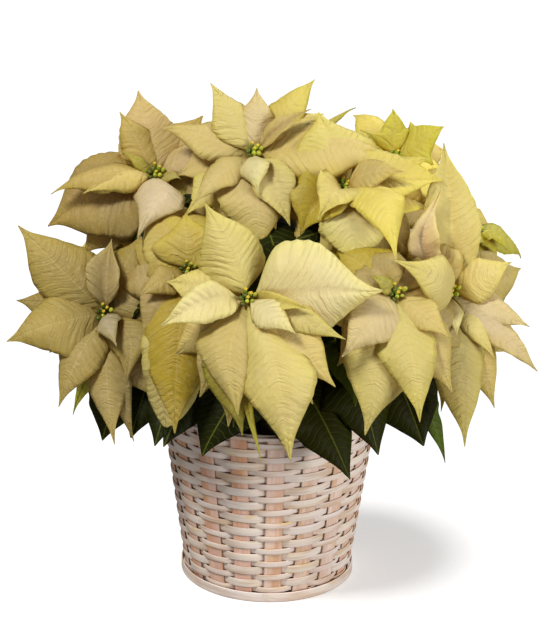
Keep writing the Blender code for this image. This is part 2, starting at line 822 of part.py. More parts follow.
def make_head(head, blades):
    """The bracts fused to the short end of stem that they grow from."""
    axis = head_axis(head)
    middle = standing(Vector(head.eye) * MM - axis * (STUB_TOP + STUB_END) / 2, axis)
    length = STUB_END - STUB_TOP
    stub = cone_object("head_" + head.name, middle, STUB_SIDES, STUB_RADIUS, STUB_RADIUS, length)
    fuse(stub, [blade_object(blade, "bract") for blade in blades])
    return stub


def leaf_blade(leaf):
    head = next(entry for entry in HEADS if entry.name == leaf.branch)
    root = branch_point(head, leaf.along)
    tip = Vector(leaf.tip) * MM
    away = Vector((tip.x, tip.y, 0)).normalized()
    faces = away + Vector((0, 0, LEAF_TILT))
    return Blade(root, tip, faces, leaf.width * MM, leaf.arch * MM, math.radians(leaf.fold), leaf.outline)


def make_plant(room):
    """Stems first, then the heads from the front backwards, then the green leaves, all kept clear."""
    stems = make_stems()
    room.add_object("stems", stems)
    eyes = [make_eye(head) for head in HEADS]
    for head, eye in zip(HEADS, eyes):
        room.add_object("eye_" + head.name, eye)
        finish(eye, (0.55, 0.48, 0.06), 0.55)
    for head in HEADS:
        draw = random.Random(head.name)
        wanted = placed_blades(head) + whorl_blades(head, draw)
        settled = [settle(room, head.name, blade) for blade in wanted]
        solid = make_head(head, [blade for blade in settled if blade])
        finish(solid, (0.78, 0.66, 0.30), 0.55)
    settled = [settle(room, "stems", leaf_blade(leaf)) for leaf in LEAVES]
    fuse(stems, [blade_object(blade, "leaf") for blade in settled if blade])
    finish(stems, (0.05, 0.10, 0.03), 0.5)


def build():
    clear_scene()
    basket = make_basket()
    pot = make_pot()
    finish(pot, (0.03, 0.05, 0.03), 0.5)
    soil = make_soil(new_collection("cutters"))
    finish(soil, (0.05, 0.03, 0.02), 0.95)
    room = Room()
    for solid in [*basket, pot, soil]:
        room.add_object(solid.name, solid)
    make_plant(room)


PART = new_collection("poinsettia_in_basket")
build()
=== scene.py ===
"""The looks of a cream poinsettia in a whitewashed woven basket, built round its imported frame.

Every piece stands where the solids of the frame stand: the heads of bracts, the small flowers,
the stems with their green leaves, the soil in its pot, and the basket of stakes and splints.
Lengths are in metres, -Y is the front, and the origin is the middle of the basket's foot.
"""

import json
import math
import random
from dataclasses import dataclass

import bpy
import numpy as np
from mathutils import Matrix, Vector

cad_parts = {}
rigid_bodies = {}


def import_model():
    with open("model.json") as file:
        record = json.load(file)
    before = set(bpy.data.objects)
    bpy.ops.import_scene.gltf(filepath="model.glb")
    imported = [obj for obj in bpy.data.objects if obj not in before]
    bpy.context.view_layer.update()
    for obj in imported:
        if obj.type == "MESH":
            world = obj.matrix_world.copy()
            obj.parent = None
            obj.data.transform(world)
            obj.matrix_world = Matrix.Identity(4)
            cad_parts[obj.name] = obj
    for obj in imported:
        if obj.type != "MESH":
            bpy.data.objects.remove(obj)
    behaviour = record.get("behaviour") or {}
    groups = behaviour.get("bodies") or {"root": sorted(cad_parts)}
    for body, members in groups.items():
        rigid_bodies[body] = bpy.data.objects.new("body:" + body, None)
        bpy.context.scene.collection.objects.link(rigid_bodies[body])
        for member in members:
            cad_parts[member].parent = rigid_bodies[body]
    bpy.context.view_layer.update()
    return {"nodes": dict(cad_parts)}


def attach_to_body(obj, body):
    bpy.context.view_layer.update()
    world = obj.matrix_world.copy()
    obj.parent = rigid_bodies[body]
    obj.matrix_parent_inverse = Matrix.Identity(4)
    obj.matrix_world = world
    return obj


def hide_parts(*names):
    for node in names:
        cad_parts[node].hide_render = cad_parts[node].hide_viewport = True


MM = 0.001

# The basket
FOOT_RADIUS = 71.4 * MM
FLARE = 0.141
BASKET_HEIGHT = 166 * MM
STAKES = 18
STAKE_WIDTH = 15.6 * MM
STAKE_THICKNESS = 1.5 * MM
STAKE_CROWN = 0.3 * MM
STAKES_END_DOWN = 2 * MM
STAKE_WANDER = 30 * MM  # how often a stake's edges change their way
GRAIN_SHIFT = 0.37  # how far each stake's grain starts from the last one's
FRONT_STAKE_TURN = math.radians(3.8)
SPLINT_THICKNESS = 1.1 * MM
OVER_STAKE = 1.6 * MM
BEHIND_STAKE = 1.7 * MM
WIDE_SPLINT = 8.2 * MM
WIDE_CROWN = 0.08 * MM
NARROW_SPLINT = 5.8 * MM
NARROW_CROWN = 0.06 * MM
SPLINT_ENDS_IN = 1 * MM
SPLINT_WOBBLE = 0.22 * MM
ROW_PITCH = 13.2 * MM
WIDE_AT_FRONT = 4.2 * MM
NARROW_AT_FRONT = 10.8 * MM
HOOP_HEIGHT = 8.6 * MM
BAND_THICKNESS = 1.5 * MM
RIM_BAND_HEIGHT = 10 * MM
RIM_BAND_SEEN = 3.2 * MM
BAND_EDGE = 0.4 * MM
BAND_PLAY = 0.5 * MM
BOARD_THICKNESS = 4 * MM

# The pot, the soil and the stems
POT_FOOT_RADIUS = 56 * MM
POT_RIM_RADIUS = 78 * MM
POT_HEIGHT = 138 * MM
POT_WALL = 1.2 * MM
POT_LIP = 12 * MM
LIP_STEP = 3 * MM
SEAT_GAP = 0.3 * MM
SOIL_PLAY = 0.6 * MM
SOIL_ROUGHNESS = 1.5 * MM
SOIL_BELOW_RIM = 12 * MM
SOIL_TOP = BOARD_THICKNESS + SEAT_GAP + POT_HEIGHT - SOIL_BELOW_RIM
TRUNK_RADIUS = 7.5 * MM
TRUNK_TOP = 172 * MM
TRUNK_SET_IN = 20 * MM
FORKS = (148 * MM, 156 * MM, 164 * MM)
BRANCH_RADIUS = 3.0 * MM
BRANCH_RISE = 0.45
BRANCH_REACH = 0.30
STUB_RADIUS = 3.0 * MM
STUB_TOP = 5 * MM
STUB_END = 22 * MM
FIRST_ROOT = 9 * MM
ROOT_STEP = 1.2 * MM
ROOT_LEVELS = 7
LEAF_TILT = 0.35
GOLDEN_ANGLE = math.radians(137.5)

# The blades of bracts and leaves, and the small flowers
BLADE_THICKNESS = 0.4 * MM
FLOWER_THICKNESS = 0.15 * MM
FINE_FROM_WIDTH = 26 * MM
FINE_ROW = 1.4 * MM
FINE_COLUMN = 9 * MM
COARSE_ROW = 2.6 * MM
COARSE_COLUMN = 12 * MM
VEIN_SLANT = 0.62  # how far a side vein runs forward for each unit that it runs outward
VEIN_FAN = 0.5  # the most that it runs forward, as a share of its point's place along the blade
VEIN_SPACING = 6.4 * MM
VEIN_WIDTH = 1.1 * MM
GROOVE = 0.5 * MM  # how deep the midrib lies
SOFT_FOLD = 1.6 * MM  # how far from the midrib the fold rounds off
LOW_ARCH = 9 * MM
SKIRT_BRACTS = 7
SKIRT_STEP = 0.5 * MM
SKIRT_WAVE = 3 * MM
SKIRT_FOLD = math.radians(-10)
SKIRT_TOP = 0.35  # how steeply a skirt bract may point up, so that none stands over the crown
INNER_LEAVES = (0.52, 0.66, 0.78, 0.88, 0.30, 0.42)  # how far up each branch they grow
INNER_LEAF_DROOP = 12 * MM
LEAF_FOLD = math.radians(-12)
BUDS = 9
BUD_SPREAD = 5.6 * MM

# The studio
FLOOR_GLOW = 0.46
WORLD_LIGHT = 0.22
LIT_MIDDLE = Vector((0, 0, 0.25))  # what the soft lights look at
SUN_WAY = Vector((-0.42, -0.17, 0.88))  # from the floor to the sun
SUN_DISTANCE = 3
SUN_SPREAD = math.radians(17)
BASKET_NAMES = ("wooden_", "wide_", "narrow_", "foot_", "rim_band", "basket_base", "pot")

# The way the viewer looks: the bracts' tips are given in these directions
VIEW_DOWN = math.radians(21.2)
VIEW_ROLL = math.radians(0.9)
VIEW_DISTANCE = 2.8
VIEW_TARGET = Vector((-0.8, 82.5, 212.8)) * MM
VIEW_LENS = 180.4
RIGHT = Vector((1, 0, 0))
UP = Vector((0, math.sin(VIEW_DOWN), math.cos(VIEW_DOWN)))
TOWARDS = Vector((0, -math.cos(VIEW_DOWN), math.sin(VIEW_DOWN)))

# Each outline gives the half width, as a share of the widest, at stations along the blade
OVATE = (
    (0, 0.07), (0.055, 0.09), (0.085, 0.38), (0.15, 0.74), (0.25, 0.95), (0.37, 1.0), (0.48, 0.95),
    (0.60, 0.80), (0.72, 0.56), (0.83, 0.28), (0.91, 0.11), (1, 0.01),
)
SLIM = (
    (0, 0.12), (0.08, 0.16), (0.20, 0.62), (0.36, 0.98), (0.50, 0.97),
    (0.68, 0.68), (0.82, 0.34), (0.92, 0.11), (1, 0.01),
)
KITE = (
    (0, 0.08), (0.06, 0.10), (0.13, 0.30), (0.26, 0.60), (0.42, 0.90), (0.55, 1.0),
    (0.66, 0.86), (0.78, 0.52), (0.88, 0.22), (0.95, 0.08), (1, 0.01),
)
BLUNT = (
    (0, 0.08), (0.07, 0.12), (0.14, 0.42), (0.28, 0.82), (0.45, 1.0), (0.62, 0.98),
    (0.78, 0.82), (0.90, 0.56), (0.96, 0.32), (1, 0.06),
)
LOBED = (
    (0, 0.05), (0.34, 0.06), (0.39, 0.42), (0.46, 0.70), (0.54, 0.84), (0.63, 1.0),
    (0.69, 0.70), (0.76, 0.60), (0.86, 0.34), (0.94, 0.13), (1, 0.01),
)
SHORT_STALK = (
    (0, 0.08), (0.14, 0.09), (0.20, 0.40), (0.32, 0.76), (0.44, 0.88), (0.54, 1.0),
    (0.60, 0.66), (0.70, 0.50), (0.84, 0.28), (0.94, 0.10), (1, 0.01),
)

# Colours as the eye reads them, from 0 to 255
CREAM = (242, 229, 140)
PALE = (248, 240, 172)
ROSY = (242, 224, 168)
BLUSH = (255, 246, 212)
STRAW = (242, 229, 118)
GOLD = (214, 194, 68)
BUFF = (230, 211, 130)
TAN = (214, 194, 122)
DUN = (200, 180, 114)
OLIVE = (196, 194, 84)
MOSS = (166, 158, 60)
LIME = (212, 206, 76)
LEAF_GREEN = (38, 37, 0)
DEEP_GREEN = (24, 26, 2)
FRESH_GREEN = (88, 108, 28)
FOOT_GREEN = (168, 172, 70)
STUB_GREEN = (120, 130, 44)
BRANCH_GREEN = (88, 112, 40)
BARK = (104, 96, 52)
BUD_GREENS = ((124, 146, 36), (60, 80, 20), (172, 180, 52))
GLAND_YELLOW = (226, 184, 44)
MIDDLE_CAST = np.array((1.0, 0.955, 1.16))
RIM_CAST = np.array((1.0, 1.02, 0.62))
UNTINTED = (1, 1, 1)


@dataclass
class Bract:
    """One bract: its tip from the head's eye, in mm to the right, up and towards the viewer."""

    across: float
    up: float
    out: float
    width: float
    arch: float
    fold: float
    tone: tuple
    outline: tuple = OVATE
    wave: float = 1.6  # how far the margin ruffles, in mm
    rib: float = 0.4  # how deep the side veins lie, in mm
    bow: float = 0  # how far the midrib bows sideways, in mm
    curl: float = 5  # how far the tip curls back, in mm
    turn: float = 0  # how far the blade rolls about its midrib, in degrees


@dataclass
class Head:
    """A whorl of bracts: its eye and the way it looks, and the bracts that were placed one by one."""

    name: str
    eye: tuple
    looks: tuple
    bracts: tuple = ()
    whorl: int = 0
    reach: float = 100
    tone: tuple = CREAM
    cast: tuple = UNTINTED  # how its bracts' colour differs from the other heads': painted shade on the heads at the left, painted light on those at the right, and some tone of their own

    @property
    def middle(self):
        return Vector(self.eye) * MM

    @property
    def axis(self):
        return Vector(self.looks).normalized()


@dataclass
class Leaf:
    """A green leaf: the branch that it grows from, how far along it, and the leaf's tip in mm."""

    branch: str
    along: float
    tip: tuple
    width: float
    tone: tuple = LEAF_GREEN
    outline: tuple = LOBED
    arch: float = 16
    frontward: float = 0  # how far it turns from facing outward to facing the front
    bow: float = 0  # how far the midrib bows sideways, in mm


# Each bract gives its across, up, out, width, arch and fold, and then its tone
# A head's last factor paints shade on the heads at the left and light on those at the right, with some
# tone of their own
HEADS = (
    Head("front", (-20, -130, 307), (0.0, -0.85, 0.5), (
        Bract(-36, 77, -12, 68, 6, -34, CREAM, wave=2.5, rib=1.1, bow=2),
        Bract(112, 7, 2, 92, 12, -22, PALE, rib=1.0, bow=-7, turn=28),
        Bract(38, -134, 14, 66, 24, -26, CREAM, KITE, wave=3, rib=0.6, bow=-7),
        Bract(-71, -25, 10, 36, 10, 18, PALE, SLIM, wave=2.4, rib=1.6, bow=5),
        Bract(-6, -98, 10, 64, 16, -26, BUFF, wave=2, rib=0.3, bow=10),
        Bract(74, -73, 4, 62, 16, -18, BUFF, rib=0.6),
        Bract(51, -9, 18, 20, 6, 36, STRAW, SLIM),
        Bract(41, -30, 26, 32, 8, -24, PALE, SLIM, rib=1.6),
        Bract(82, -34, 12, 28, 8, -18, CREAM, SLIM, rib=0.6),
        Bract(14, -137, -2, 11, 10, -20, LIME, SLIM, bow=8, curl=0),
        Bract(-14, -108, -14, 58, 12, -14, BUFF),
        Bract(-2, -115, -4, 52, 12, -14, MOSS, rib=1.6, bow=13),
        Bract(-38, -84, -16, 50, 12, -14, TAN, rib=0.3),
        Bract(52, -48, -10, 66, 12, -14, BUFF, rib=0.6),
        Bract(56, -88, -14, 56, 14, -14, BUFF),
    )),
    Head("front_right", (105, -100, 302), (0.15, -0.8, 0.55), (
        Bract(-46, -55, 25, 52, 14, -21, ROSY, rib=0.2),
        Bract(20, -108, 14, 58, 18, -27, CREAM, wave=2.4, rib=0.2),
        Bract(-25, -120, 0, 69, 14, -21, CREAM, rib=0.2),
        Bract(44, -38, 8, 34, 10, -21, BUFF, SLIM),
        Bract(-50, 34, -34, 60, 10, -15, GOLD),
        Bract(2, 34, -46, 52, 8, -15, PALE),
        Bract(48, -84, -8, 52, 12, -18, BUFF),
        Bract(-24, 14, 10, 16, 6, -21, OLIVE, SLIM),
        Bract(-30, 22, -28, 49, 10, 21, TAN),
        Bract(-58, -4, -18, 52, 10, -15, TAN),
    ), cast=(0.95, 0.94, 0.92)),
    Head("left", (-143, -60, 265), (-0.2, -0.8, 0.5), (
        Bract(14, -30, 28, 28, 10, -30, BLUSH, rib=0.3),
        Bract(22, -62, 12, 46, 12, -21, BUFF, rib=0.3, bow=-16),
        Bract(-74, 72, -8, 60, 10, -18, BUFF, rib=0.3),
        Bract(-81, -27, 4, 65, 14, -21, BUFF),
        Bract(-36, -82, 4, 43, 14, -18, BUFF),
        Bract(60, 37, -4, 54, 10, -21, BUFF, wave=3),
        Bract(12, -113, 4, 43, 14, -24, BUFF),
        Bract(6, 62, -12, 40, 6, 39, ROSY, SLIM),
        Bract(46, -74, -4, 56, 12, -18, BUFF),
        Bract(28, -111, -8, 25, 14, -15, TAN, SLIM),
        Bract(-75, 8, -18, 45, 8, -15, TAN),
        Bract(-46, -36, -16, 38, 8, -15, OLIVE, SLIM),
        Bract(32, 66, -22, 63, 10, -15, GOLD),
    ), cast=(0.64, 0.6, 0.5)),
    Head("front_left", (-71, -80, 313), (-0.1, -0.75, 0.6), (
        Bract(-8, -139, 6, 70, 20, -22, GOLD, wave=3),
        Bract(-16, -134, -2, 56, 16, -14, PALE, BLUNT, wave=7),
        Bract(-39, -24, 12, 32, 8, -18, BUFF, SLIM),
        Bract(-2, 46, -20, 66, 8, -18, STRAW),
        Bract(-10, 58, -78, 64, 8, -18, STRAW),
        Bract(-32, 52, -58, 60, 8, -18, STRAW),
        Bract(-48, 22, -54, 48, 8, -18, GOLD),
        Bract(-36, -64, 0, 52, 10, -18, TAN),
        Bract(38, 26, -20, 56, 8, -15, STRAW),
        Bract(22, -66, -8, 58, 12, -18, GOLD),
    ), cast=(0.84, 0.78, 0.62)),
    Head("right", (153, -50, 285), (0.15, -0.8, 0.5), (
        Bract(-7, 127, -22, 56, 8, 24, CREAM, wave=2.4, rib=0.3),
        Bract(-51, 24, 56, 54, 24, -21, CREAM, rib=0.2, bow=-4),
        Bract(14, -133, -4, 52, 18, -24, CREAM, rib=0.3),
        Bract(51, 25, 5, 43, 8, -18, CREAM, SLIM),
        Bract(68, -30, -4, 31, 8, -21, ROSY, SLIM),
        Bract(4, -39, 26, 22, 6, -24, PALE, SLIM),
        Bract(38, -58, 4, 24, 10, -21, CREAM, SLIM),
        Bract(76, -68, -12, 30, 12, -18, ROSY, SLIM, wave=3),
        Bract(-10, 88, 2, 36, 12, 36, ROSY, wave=6, bow=-24),
        Bract(-30, 48, -8, 44, 10, 20, BUFF, wave=3),
        Bract(-14, 78, -30, 60, 8, -15, CREAM),
        Bract(-6, -104, -16, 29, 10, -15, OLIVE, SLIM),
        Bract(40, -100, -20, 45, 12, -15, BUFF),
        Bract(26, -44, -14, 60, 12, -18, BUFF),
    )),
    Head("top", (-17, 0, 393), (0.0, -0.6, 0.8), (
        Bract(7, -88, 8, 76, 18, -16, BUFF, wave=3, rib=0.2),
        Bract(5, -40, 28, 34, 12, -28, PALE, SLIM, turn=14),
        Bract(123, -6, -5, 60, 14, -18, BUFF),
        Bract(-38, 56, -12, 42, 6, -24, CREAM, SLIM),
        Bract(2, 53, -14, 38, 6, -26, ROSY, SLIM),
        Bract(52, 62, -30, 38, 6, -18, STRAW, SLIM),
        Bract(-79, 17, -10, 40, 8, -18, BUFF, SLIM),
        Bract(49, 35, -5, 20, 6, 36, TAN, SLIM),
        Bract(32, -66, 14, 40, 12, 20, CREAM, SLIM),
        Bract(-51, -50, 22, 30, 12, -18, BUFF, SLIM),
        Bract(66, 20, -12, 40, 6, -15, BUFF, SLIM),
        Bract(60, 32, -24, 64, 8, -15, CREAM),
        Bract(58, -42, -10, 62, 14, -18, GOLD),
        Bract(-40, -60, -6, 60, 14, -18, BUFF),
        Bract(-22, -76, -4, 56, 14, -16, BUFF),
    )),
    Head("top_left", (-102, 20, 365), (-0.1, -0.6, 0.75), (
        Bract(-12, -60, 44, 52, 16, -30, BLUSH, rib=0.6, bow=-12),
        Bract(-61, -22, 18, 31, 12, -30, CREAM, SLIM),
        Bract(-89, -22, 5, 40, 20, -36, BUFF, SLIM, curl=10),
        Bract(-93, -49, -22, 88, 14, -12, DUN, rib=0.3, turn=-8),
        Bract(-32, 51, -15, 36, 6, -21, BUFF, SLIM, rib=0.6),
        Bract(-17, 71, -30, 58, 8, -15, ROSY),
        Bract(40, 50, -34, 56, 6, -15, BUFF),
        Bract(58, 22, -8, 38, 8, -18, ROSY, SLIM),
        Bract(32, -66, -14, 56, 10, -15, BUFF),
        Bract(-30, 16, 2, 13, 4, -21, OLIVE, SLIM),
        Bract(24, -8, 12, 16, 4, -21, OLIVE, SLIM),
        Bract(-62, -74, -30, 67, 12, -12, DUN),
        Bract(46, -24, -16, 52, 10, -15, LIME),
        Bract(-14, -88, -26, 60, 12, -12, GOLD),
    ), cast=(0.88, 0.81, 0.68)),
    Head("top_right", (62, -20, 369), (0.1, -0.6, 0.75), (
        Bract(10, -64, 22, 64, 18, -16, PALE, BLUNT, wave=3, rib=0.3),
        Bract(42, -66, 52, 52, 28, -26, STRAW, wave=1.5, rib=0.6, bow=-12),
        Bract(-24, -32, 32, 46, 14, 22, CREAM, wave=4, rib=0.9, curl=10),
        Bract(-38, -44, 6, 62, 14, 24, GOLD, wave=2.4, turn=16),
        Bract(78, -22, -8, 64, 8, 16, STRAW, wave=2, rib=0.7, bow=-4),
        Bract(84, 4, -8, 56, 12, 20, STRAW, wave=2, rib=1.0),
        Bract(72, 24, -8, 38, 8, -20, STRAW, SLIM, rib=1.5),
        Bract(48, 10, 26, 36, 12, -15, TAN, SLIM, rib=1.9),
        Bract(-24, 62, -22, 84, 8, -15, CREAM),
        Bract(16, 30, -26, 66, 8, -15, STRAW, rib=0.8),
        Bract(-34, -70, -4, 74, 12, -24, CREAM, rib=1.0),
        Bract(-52, -20, -10, 60, 10, -15, BUFF),
        Bract(20, -90, -16, 70, 12, -15, GOLD),
        Bract(62, -66, -14, 66, 12, -15, BUFF),
    ), tone=STRAW, cast=(1.06, 1.06, 0.94)),
    Head("back_right_top", (107, 70, 366), (0.2, -0.55, 0.8), (
        Bract(-3, 40, 6, 42, 4, -18, LIME, SHORT_STALK),
        Bract(42, 25, 8, 48, 4, -18, LIME, SHORT_STALK),
        Bract(-31, 22, -4, 9, 4, -18, LIME, SLIM),
        Bract(40, -12, 6, 46, 8, -18, STRAW, rib=1.3),
        Bract(-38, 6, -6, 38, 6, -18, LIME),
        Bract(14, -26, 18, 42, 8, -18, STRAW, rib=1.0),
    ), whorl=5, reach=92, tone=STRAW, cast=(1.2, 1.2, 1.1)),
    Head("back_right", (183, 60, 306), (0.7, -0.25, 0.65), (
        Bract(24, -22, 4, 27, 6, -18, LIME, SHORT_STALK),
        Bract(14, -32, 8, 20, 6, -18, LIME, SLIM),
        Bract(-16, 22, 8, 29, 6, -18, OLIVE, SLIM),
    ), whorl=6, reach=84, tone=OLIVE, cast=(1.2, 1.2, 1.0)),
    Head("back_left", (-120, 95, 305), (-0.6, 0.5, 0.65), whorl=6, reach=112),
    Head("back_top", (-20, 115, 350), (-0.1, 0.55, 0.8), (
        Bract(93, 43, 0, 24, 6, -21, LIME, SLIM, bow=8, curl=0, turn=50),
    ), whorl=6, reach=110),
    Head("back", (60, 150, 285), (0.25, 0.8, 0.55), whorl=6, reach=118),
)

LEAVES = (
    Leaf("front", 0.48, (69, -127, 142), 78),
    Leaf("front", 0.50, (-56, -122, 159), 84, DEEP_GREEN, arch=24, bow=-16),
    Leaf("front", 0.40, (16, -126, 166), 66, DEEP_GREEN),
    Leaf("front", 0.52, (-30, -122, 186), 80, DEEP_GREEN),
    Leaf("front_right", 0.50, (93, -107, 156), 76, frontward=0.5),
    Leaf("right", 0.55, (133, -77, 152), 92, frontward=0.8),
    Leaf("right", 0.70, (153, -60, 129), 26, FRESH_GREEN, frontward=0.6, bow=10),
    Leaf("front_right", 0.45, (72, -118, 205), 62, FRESH_GREEN),
    Leaf("front_left", 0.50, (-89, -117, 165), 70, DEEP_GREEN, frontward=0.6),
    Leaf("left", 0.50, (-97, -100, 158), 74, DEEP_GREEN, frontward=0.8),
    Leaf("left", 0.60, (-118, -88, 160), 70, DEEP_GREEN, frontward=0.8),
    Leaf("left", 0.72, (-144, -60, 145), 66, frontward=0.8),
    Leaf("left", 0.80, (-170, -50, 164), 24, LIME, SLIM, frontward=0.6),
    Leaf("back_left", 0.55, (-150, 70, 165), 62),
    Leaf("back_left", 0.65, (-90, 150, 175), 66),
    Leaf("back", 0.50, (0, 165, 160), 64),
    Leaf("back", 0.62, (90, 150, 150), 62),
    Leaf("back_right", 0.50, (160, 55, 165), 62),
    Leaf("top", 0.72, (10, -75, 300), 60, DEEP_GREEN, OVATE),
    Leaf("top_left", 0.66, (-60, -50, 248), 60, DEEP_GREEN, OVATE),
    Leaf("left", 0.74, (-110, -30, 290), 54, LEAF_GREEN, OVATE),
    Leaf("right", 0.66, (118, -52, 240), 60, LEAF_GREEN, OVATE),
    Leaf("front", 0.55, (8, -125, 215), 60, DEEP_GREEN, OVATE),
    Leaf("back_right_top", 0.75, (25, 25, 300), 60, LEAF_GREEN, OVATE),
    Leaf("back_right", 0.72, (200, 5, 232), 58, LEAF_GREEN, OVATE),
    Leaf("left", 0.66, (-170, 30, 235), 60, LEAF_GREEN, OVATE),
    Leaf("back_right", 0.70, (120, 140, 235), 60, LEAF_GREEN, OVATE),
    Leaf("front_right", 0.60, (56, -84, 232), 62, DEEP_GREEN, OVATE),
    Leaf("front", 0.85, (-8, -22, 300), 66, DEEP_GREEN, OVATE),
    Leaf("front", 0.80, (12, -30, 322), 56, DEEP_GREEN, OVATE),
    Leaf("front_right", 0.55, (48, -38, 212), 66, DEEP_GREEN, OVATE),
    Leaf("front", 0.45, (52, -80, 236), 70, DEEP_GREEN, OVATE),
    Leaf("top_right", 0.45, (62, -40, 256), 70, DEEP_GREEN, OVATE),
    Leaf("right", 0.74, (128, -58, 262), 56, DEEP_GREEN, OVATE),
    Leaf("right", 0.58, (106, -70, 205), 60, DEEP_GREEN, OVATE),
    Leaf("front_left", 0.66, (-84, -66, 262), 60, DEEP_GREEN, OVATE),
    Leaf("front_left", 0.58, (-60, -92, 222), 60, DEEP_GREEN, OVATE),
    Leaf("left", 0.56, (-108, -60, 205), 60, DEEP_GREEN, OVATE),
    Leaf("top_left", 0.80, (-112, -34, 305), 60, DEEP_GREEN, OVATE),
    Leaf("top_right", 0.80, (20, -52, 330), 56, DEEP_GREEN, OVATE),
)


# Surfaces as arrays of points, gathered into one mesh


class Surfaces:
    """Grids of points that become one mesh, with a grain map and a tint for every point."""

    def __init__(self):
        self.points = []
        self.faces = []
        self.grain = []
        self.tints = []
        self.count = 0

    def add_grid(self, points, grain, tint, closed_round=False):
        """A grid of rows and columns; the tint is one colour or one for each point."""
        rows, columns = points.shape[:2]
        start = self.count
        self.points.append(points.reshape(-1, 3))
        self.grain.append(grain.reshape(-1, 2))
        self.tints.append(np.broadcast_to(tint, (rows, columns, 3)).reshape(-1, 3))
        self.count += rows * columns
        last = columns if closed_round else columns - 1
        row, column = np.meshgrid(np.arange(rows - 1), np.arange(last), indexing="ij")
        beside = (column + 1) % columns
        corners = (
            row * columns + column,
            row * columns + beside,
            (row + 1) * columns + beside,
            (row + 1) * columns + column,
        )
        self.faces.append(np.stack([corner.ravel() for corner in corners], axis=1) + start)

    def make(self, name, material, thickness=0.0):
        """The mesh object, thickened evenly about its surface where a thickness is given."""
        points = np.concatenate(self.points)
        faces = np.concatenate(self.faces)
        mesh = bpy.data.meshes.new(name)
        mesh.from_pydata(points.tolist(), [], faces.tolist())
        corner_points = np.empty(len(mesh.loops), np.int32)
        mesh.loops.foreach_get("vertex_index", corner_points)
        grain = np.concatenate(self.grain)[corner_points]
        mesh.uv_layers.new(name="grain").data.foreach_set("uv", grain.ravel())
        tints = np.concatenate(self.tints)[corner_points]
        colours = np.concatenate([tints, np.ones((len(tints), 1))], axis=1)
        layer = mesh.color_attributes.new("tint", "FLOAT_COLOR", "CORNER")
        layer.data.foreach_set("color", colours.ravel())
        mesh.polygons.foreach_set("use_smooth", [True] * len(mesh.polygons))
        mesh.materials.append(material)
        piece = bpy.data.objects.new(name, mesh)
        bpy.context.scene.collection.objects.link(piece)
        if thickness:
            shell = piece.modifiers.new("Thickness", "SOLIDIFY")
            shell.thickness = thickness
            shell.offset = 0
        return piece


def seen(colour):
    """A colour given from 0 to 255 as the eye reads it, as linear light."""
    shares = np.array(colour) / 255
    return np.where(shares <= 0.04045, shares / 12.92, ((shares + 0.055) / 1.055) ** 2.4)


def travelled(points):
    """How far each point of a route lies from its start, along the route."""
    return np.concatenate([[0], np.cumsum(np.linalg.norm(np.diff(points, axis=0), axis=1))])


def spread(along, across):
    """The grain map of a grid, from its measures along and across the grain."""
    return np.stack(np.broadcast_arrays(along, across), axis=-1)


def smooth_curve(stations, u):
    """The stations' value at u, on a curve that passes through them without overshooting."""
    places, values = np.array(stations, float).T
    steps = np.diff(places)
    slopes = np.diff(values) / steps
    tangents = np.zeros(len(places))
    same_way = slopes[:-1] * slopes[1:] > 0
    mean = 2 * slopes[:-1] * slopes[1:] / np.where(same_way, slopes[:-1] + slopes[1:], 1)
    tangents[1:-1] = np.where(same_way, mean, 0)
    tangents[0], tangents[-1] = slopes[0], slopes[-1]
    index = np.clip(np.searchsorted(places, u, side="right") - 1, 0, len(steps) - 1)
    step = steps[index]
    t = (u - places[index]) / step
    return (
        values[index] * (1 + 2 * t) * (1 - t) ** 2
        + tangents[index] * step * t * (1 - t) ** 2
        + values[index + 1] * t * t * (3 - 2 * t)
        + tangents[index + 1] * step * t * t * (t - 1)
    )


# The blade: bracts and leaves alike


@dataclass
class Blade:
    """A thin blade along a curved midrib, which arches towards the side that it faces."""

    seed: str
    root: Vector
    tip: Vector
    faces: Vector
    width: float
    arch: float
    fold: float
    tone: tuple
    outline: tuple = OVATE
    wave: float = 1.6 * MM
    rib: float = 0.4 * MM
    bow: float = 0.0
    curl: float = 5 * MM
    turn: float = 0.0
    # Painted shade and light from the blade's head, with some tone of its own
    cast: tuple = UNTINTED


def ripple(u, fewest, most, draw):
    """A sine along the blade, with a drawn number of waves and a drawn start."""
    return np.sin(math.tau * (draw.uniform(fewest, most) * u + draw.random()))


def midrib_curve(blade, u, facing, side):
    """Points and directions along the midrib, which arches, bows sideways and curls at its tip."""
    root = np.array(blade.root)
    chord = np.array(blade.tip - blade.root)
    first = root + chord / 3 + facing * blade.arch * 1.6
    second = root + chord * 2 / 3 + facing * blade.arch
    last = root + chord
    u = u[..., None]
    w = 1 - u
    middle = root * w**3 + first * 3 * w * w * u + second * 3 * w * u * u + last * u**3
    middle = middle + side * blade.bow * np.sin(math.pi * u) ** 1.3
    middle = middle + facing * blade.curl * (u**2 - np.clip((u - 0.6) / 0.4, 0, 1) ** 2)
    along = (first - root) * w * w + (second - first) * 2 * w * u + (last - second) * u * u
    return middle, along / np.linalg.norm(along, axis=-1, keepdims=True)


def vein_start(blade, u, v, length):
    """How far along the midrib the side vein through a point starts; they fan out at the foot."""
    outward = np.abs(v) * blade.width / 2 * smooth_curve(blade.outline, u)
    return u * length - np.minimum(VEIN_SLANT * outward, VEIN_FAN * u * length)


def vein_rows(blade, length, rows, v):
    """The place along the blade of every grid point, on rows that run with the side veins."""
    fine = np.linspace(0, 1, 401)
    starts = np.linspace(0, length, rows + 1)
    columns = []
    for place in v.ravel():
        reached = np.maximum.accumulate(vein_start(blade, fine, place, length))
        columns.append(np.interp(starts, reached + fine * 1e-6, fine))
    return np.stack(columns, axis=1)


def vein_lane(blade, u, v, length, draw):
    """A number that grows by one from each side vein to the next, along the blade."""
    slow = 0.20 * np.sin(math.tau * (1.7 * u + draw.random()))
    slanted = 0.12 * np.sin(9 * v + math.tau * u)
    alternate = np.where(v > 0, 0.5, 0)
    return vein_start(blade, u, v, length) / VEIN_SPACING + alternate + (slow + slanted)


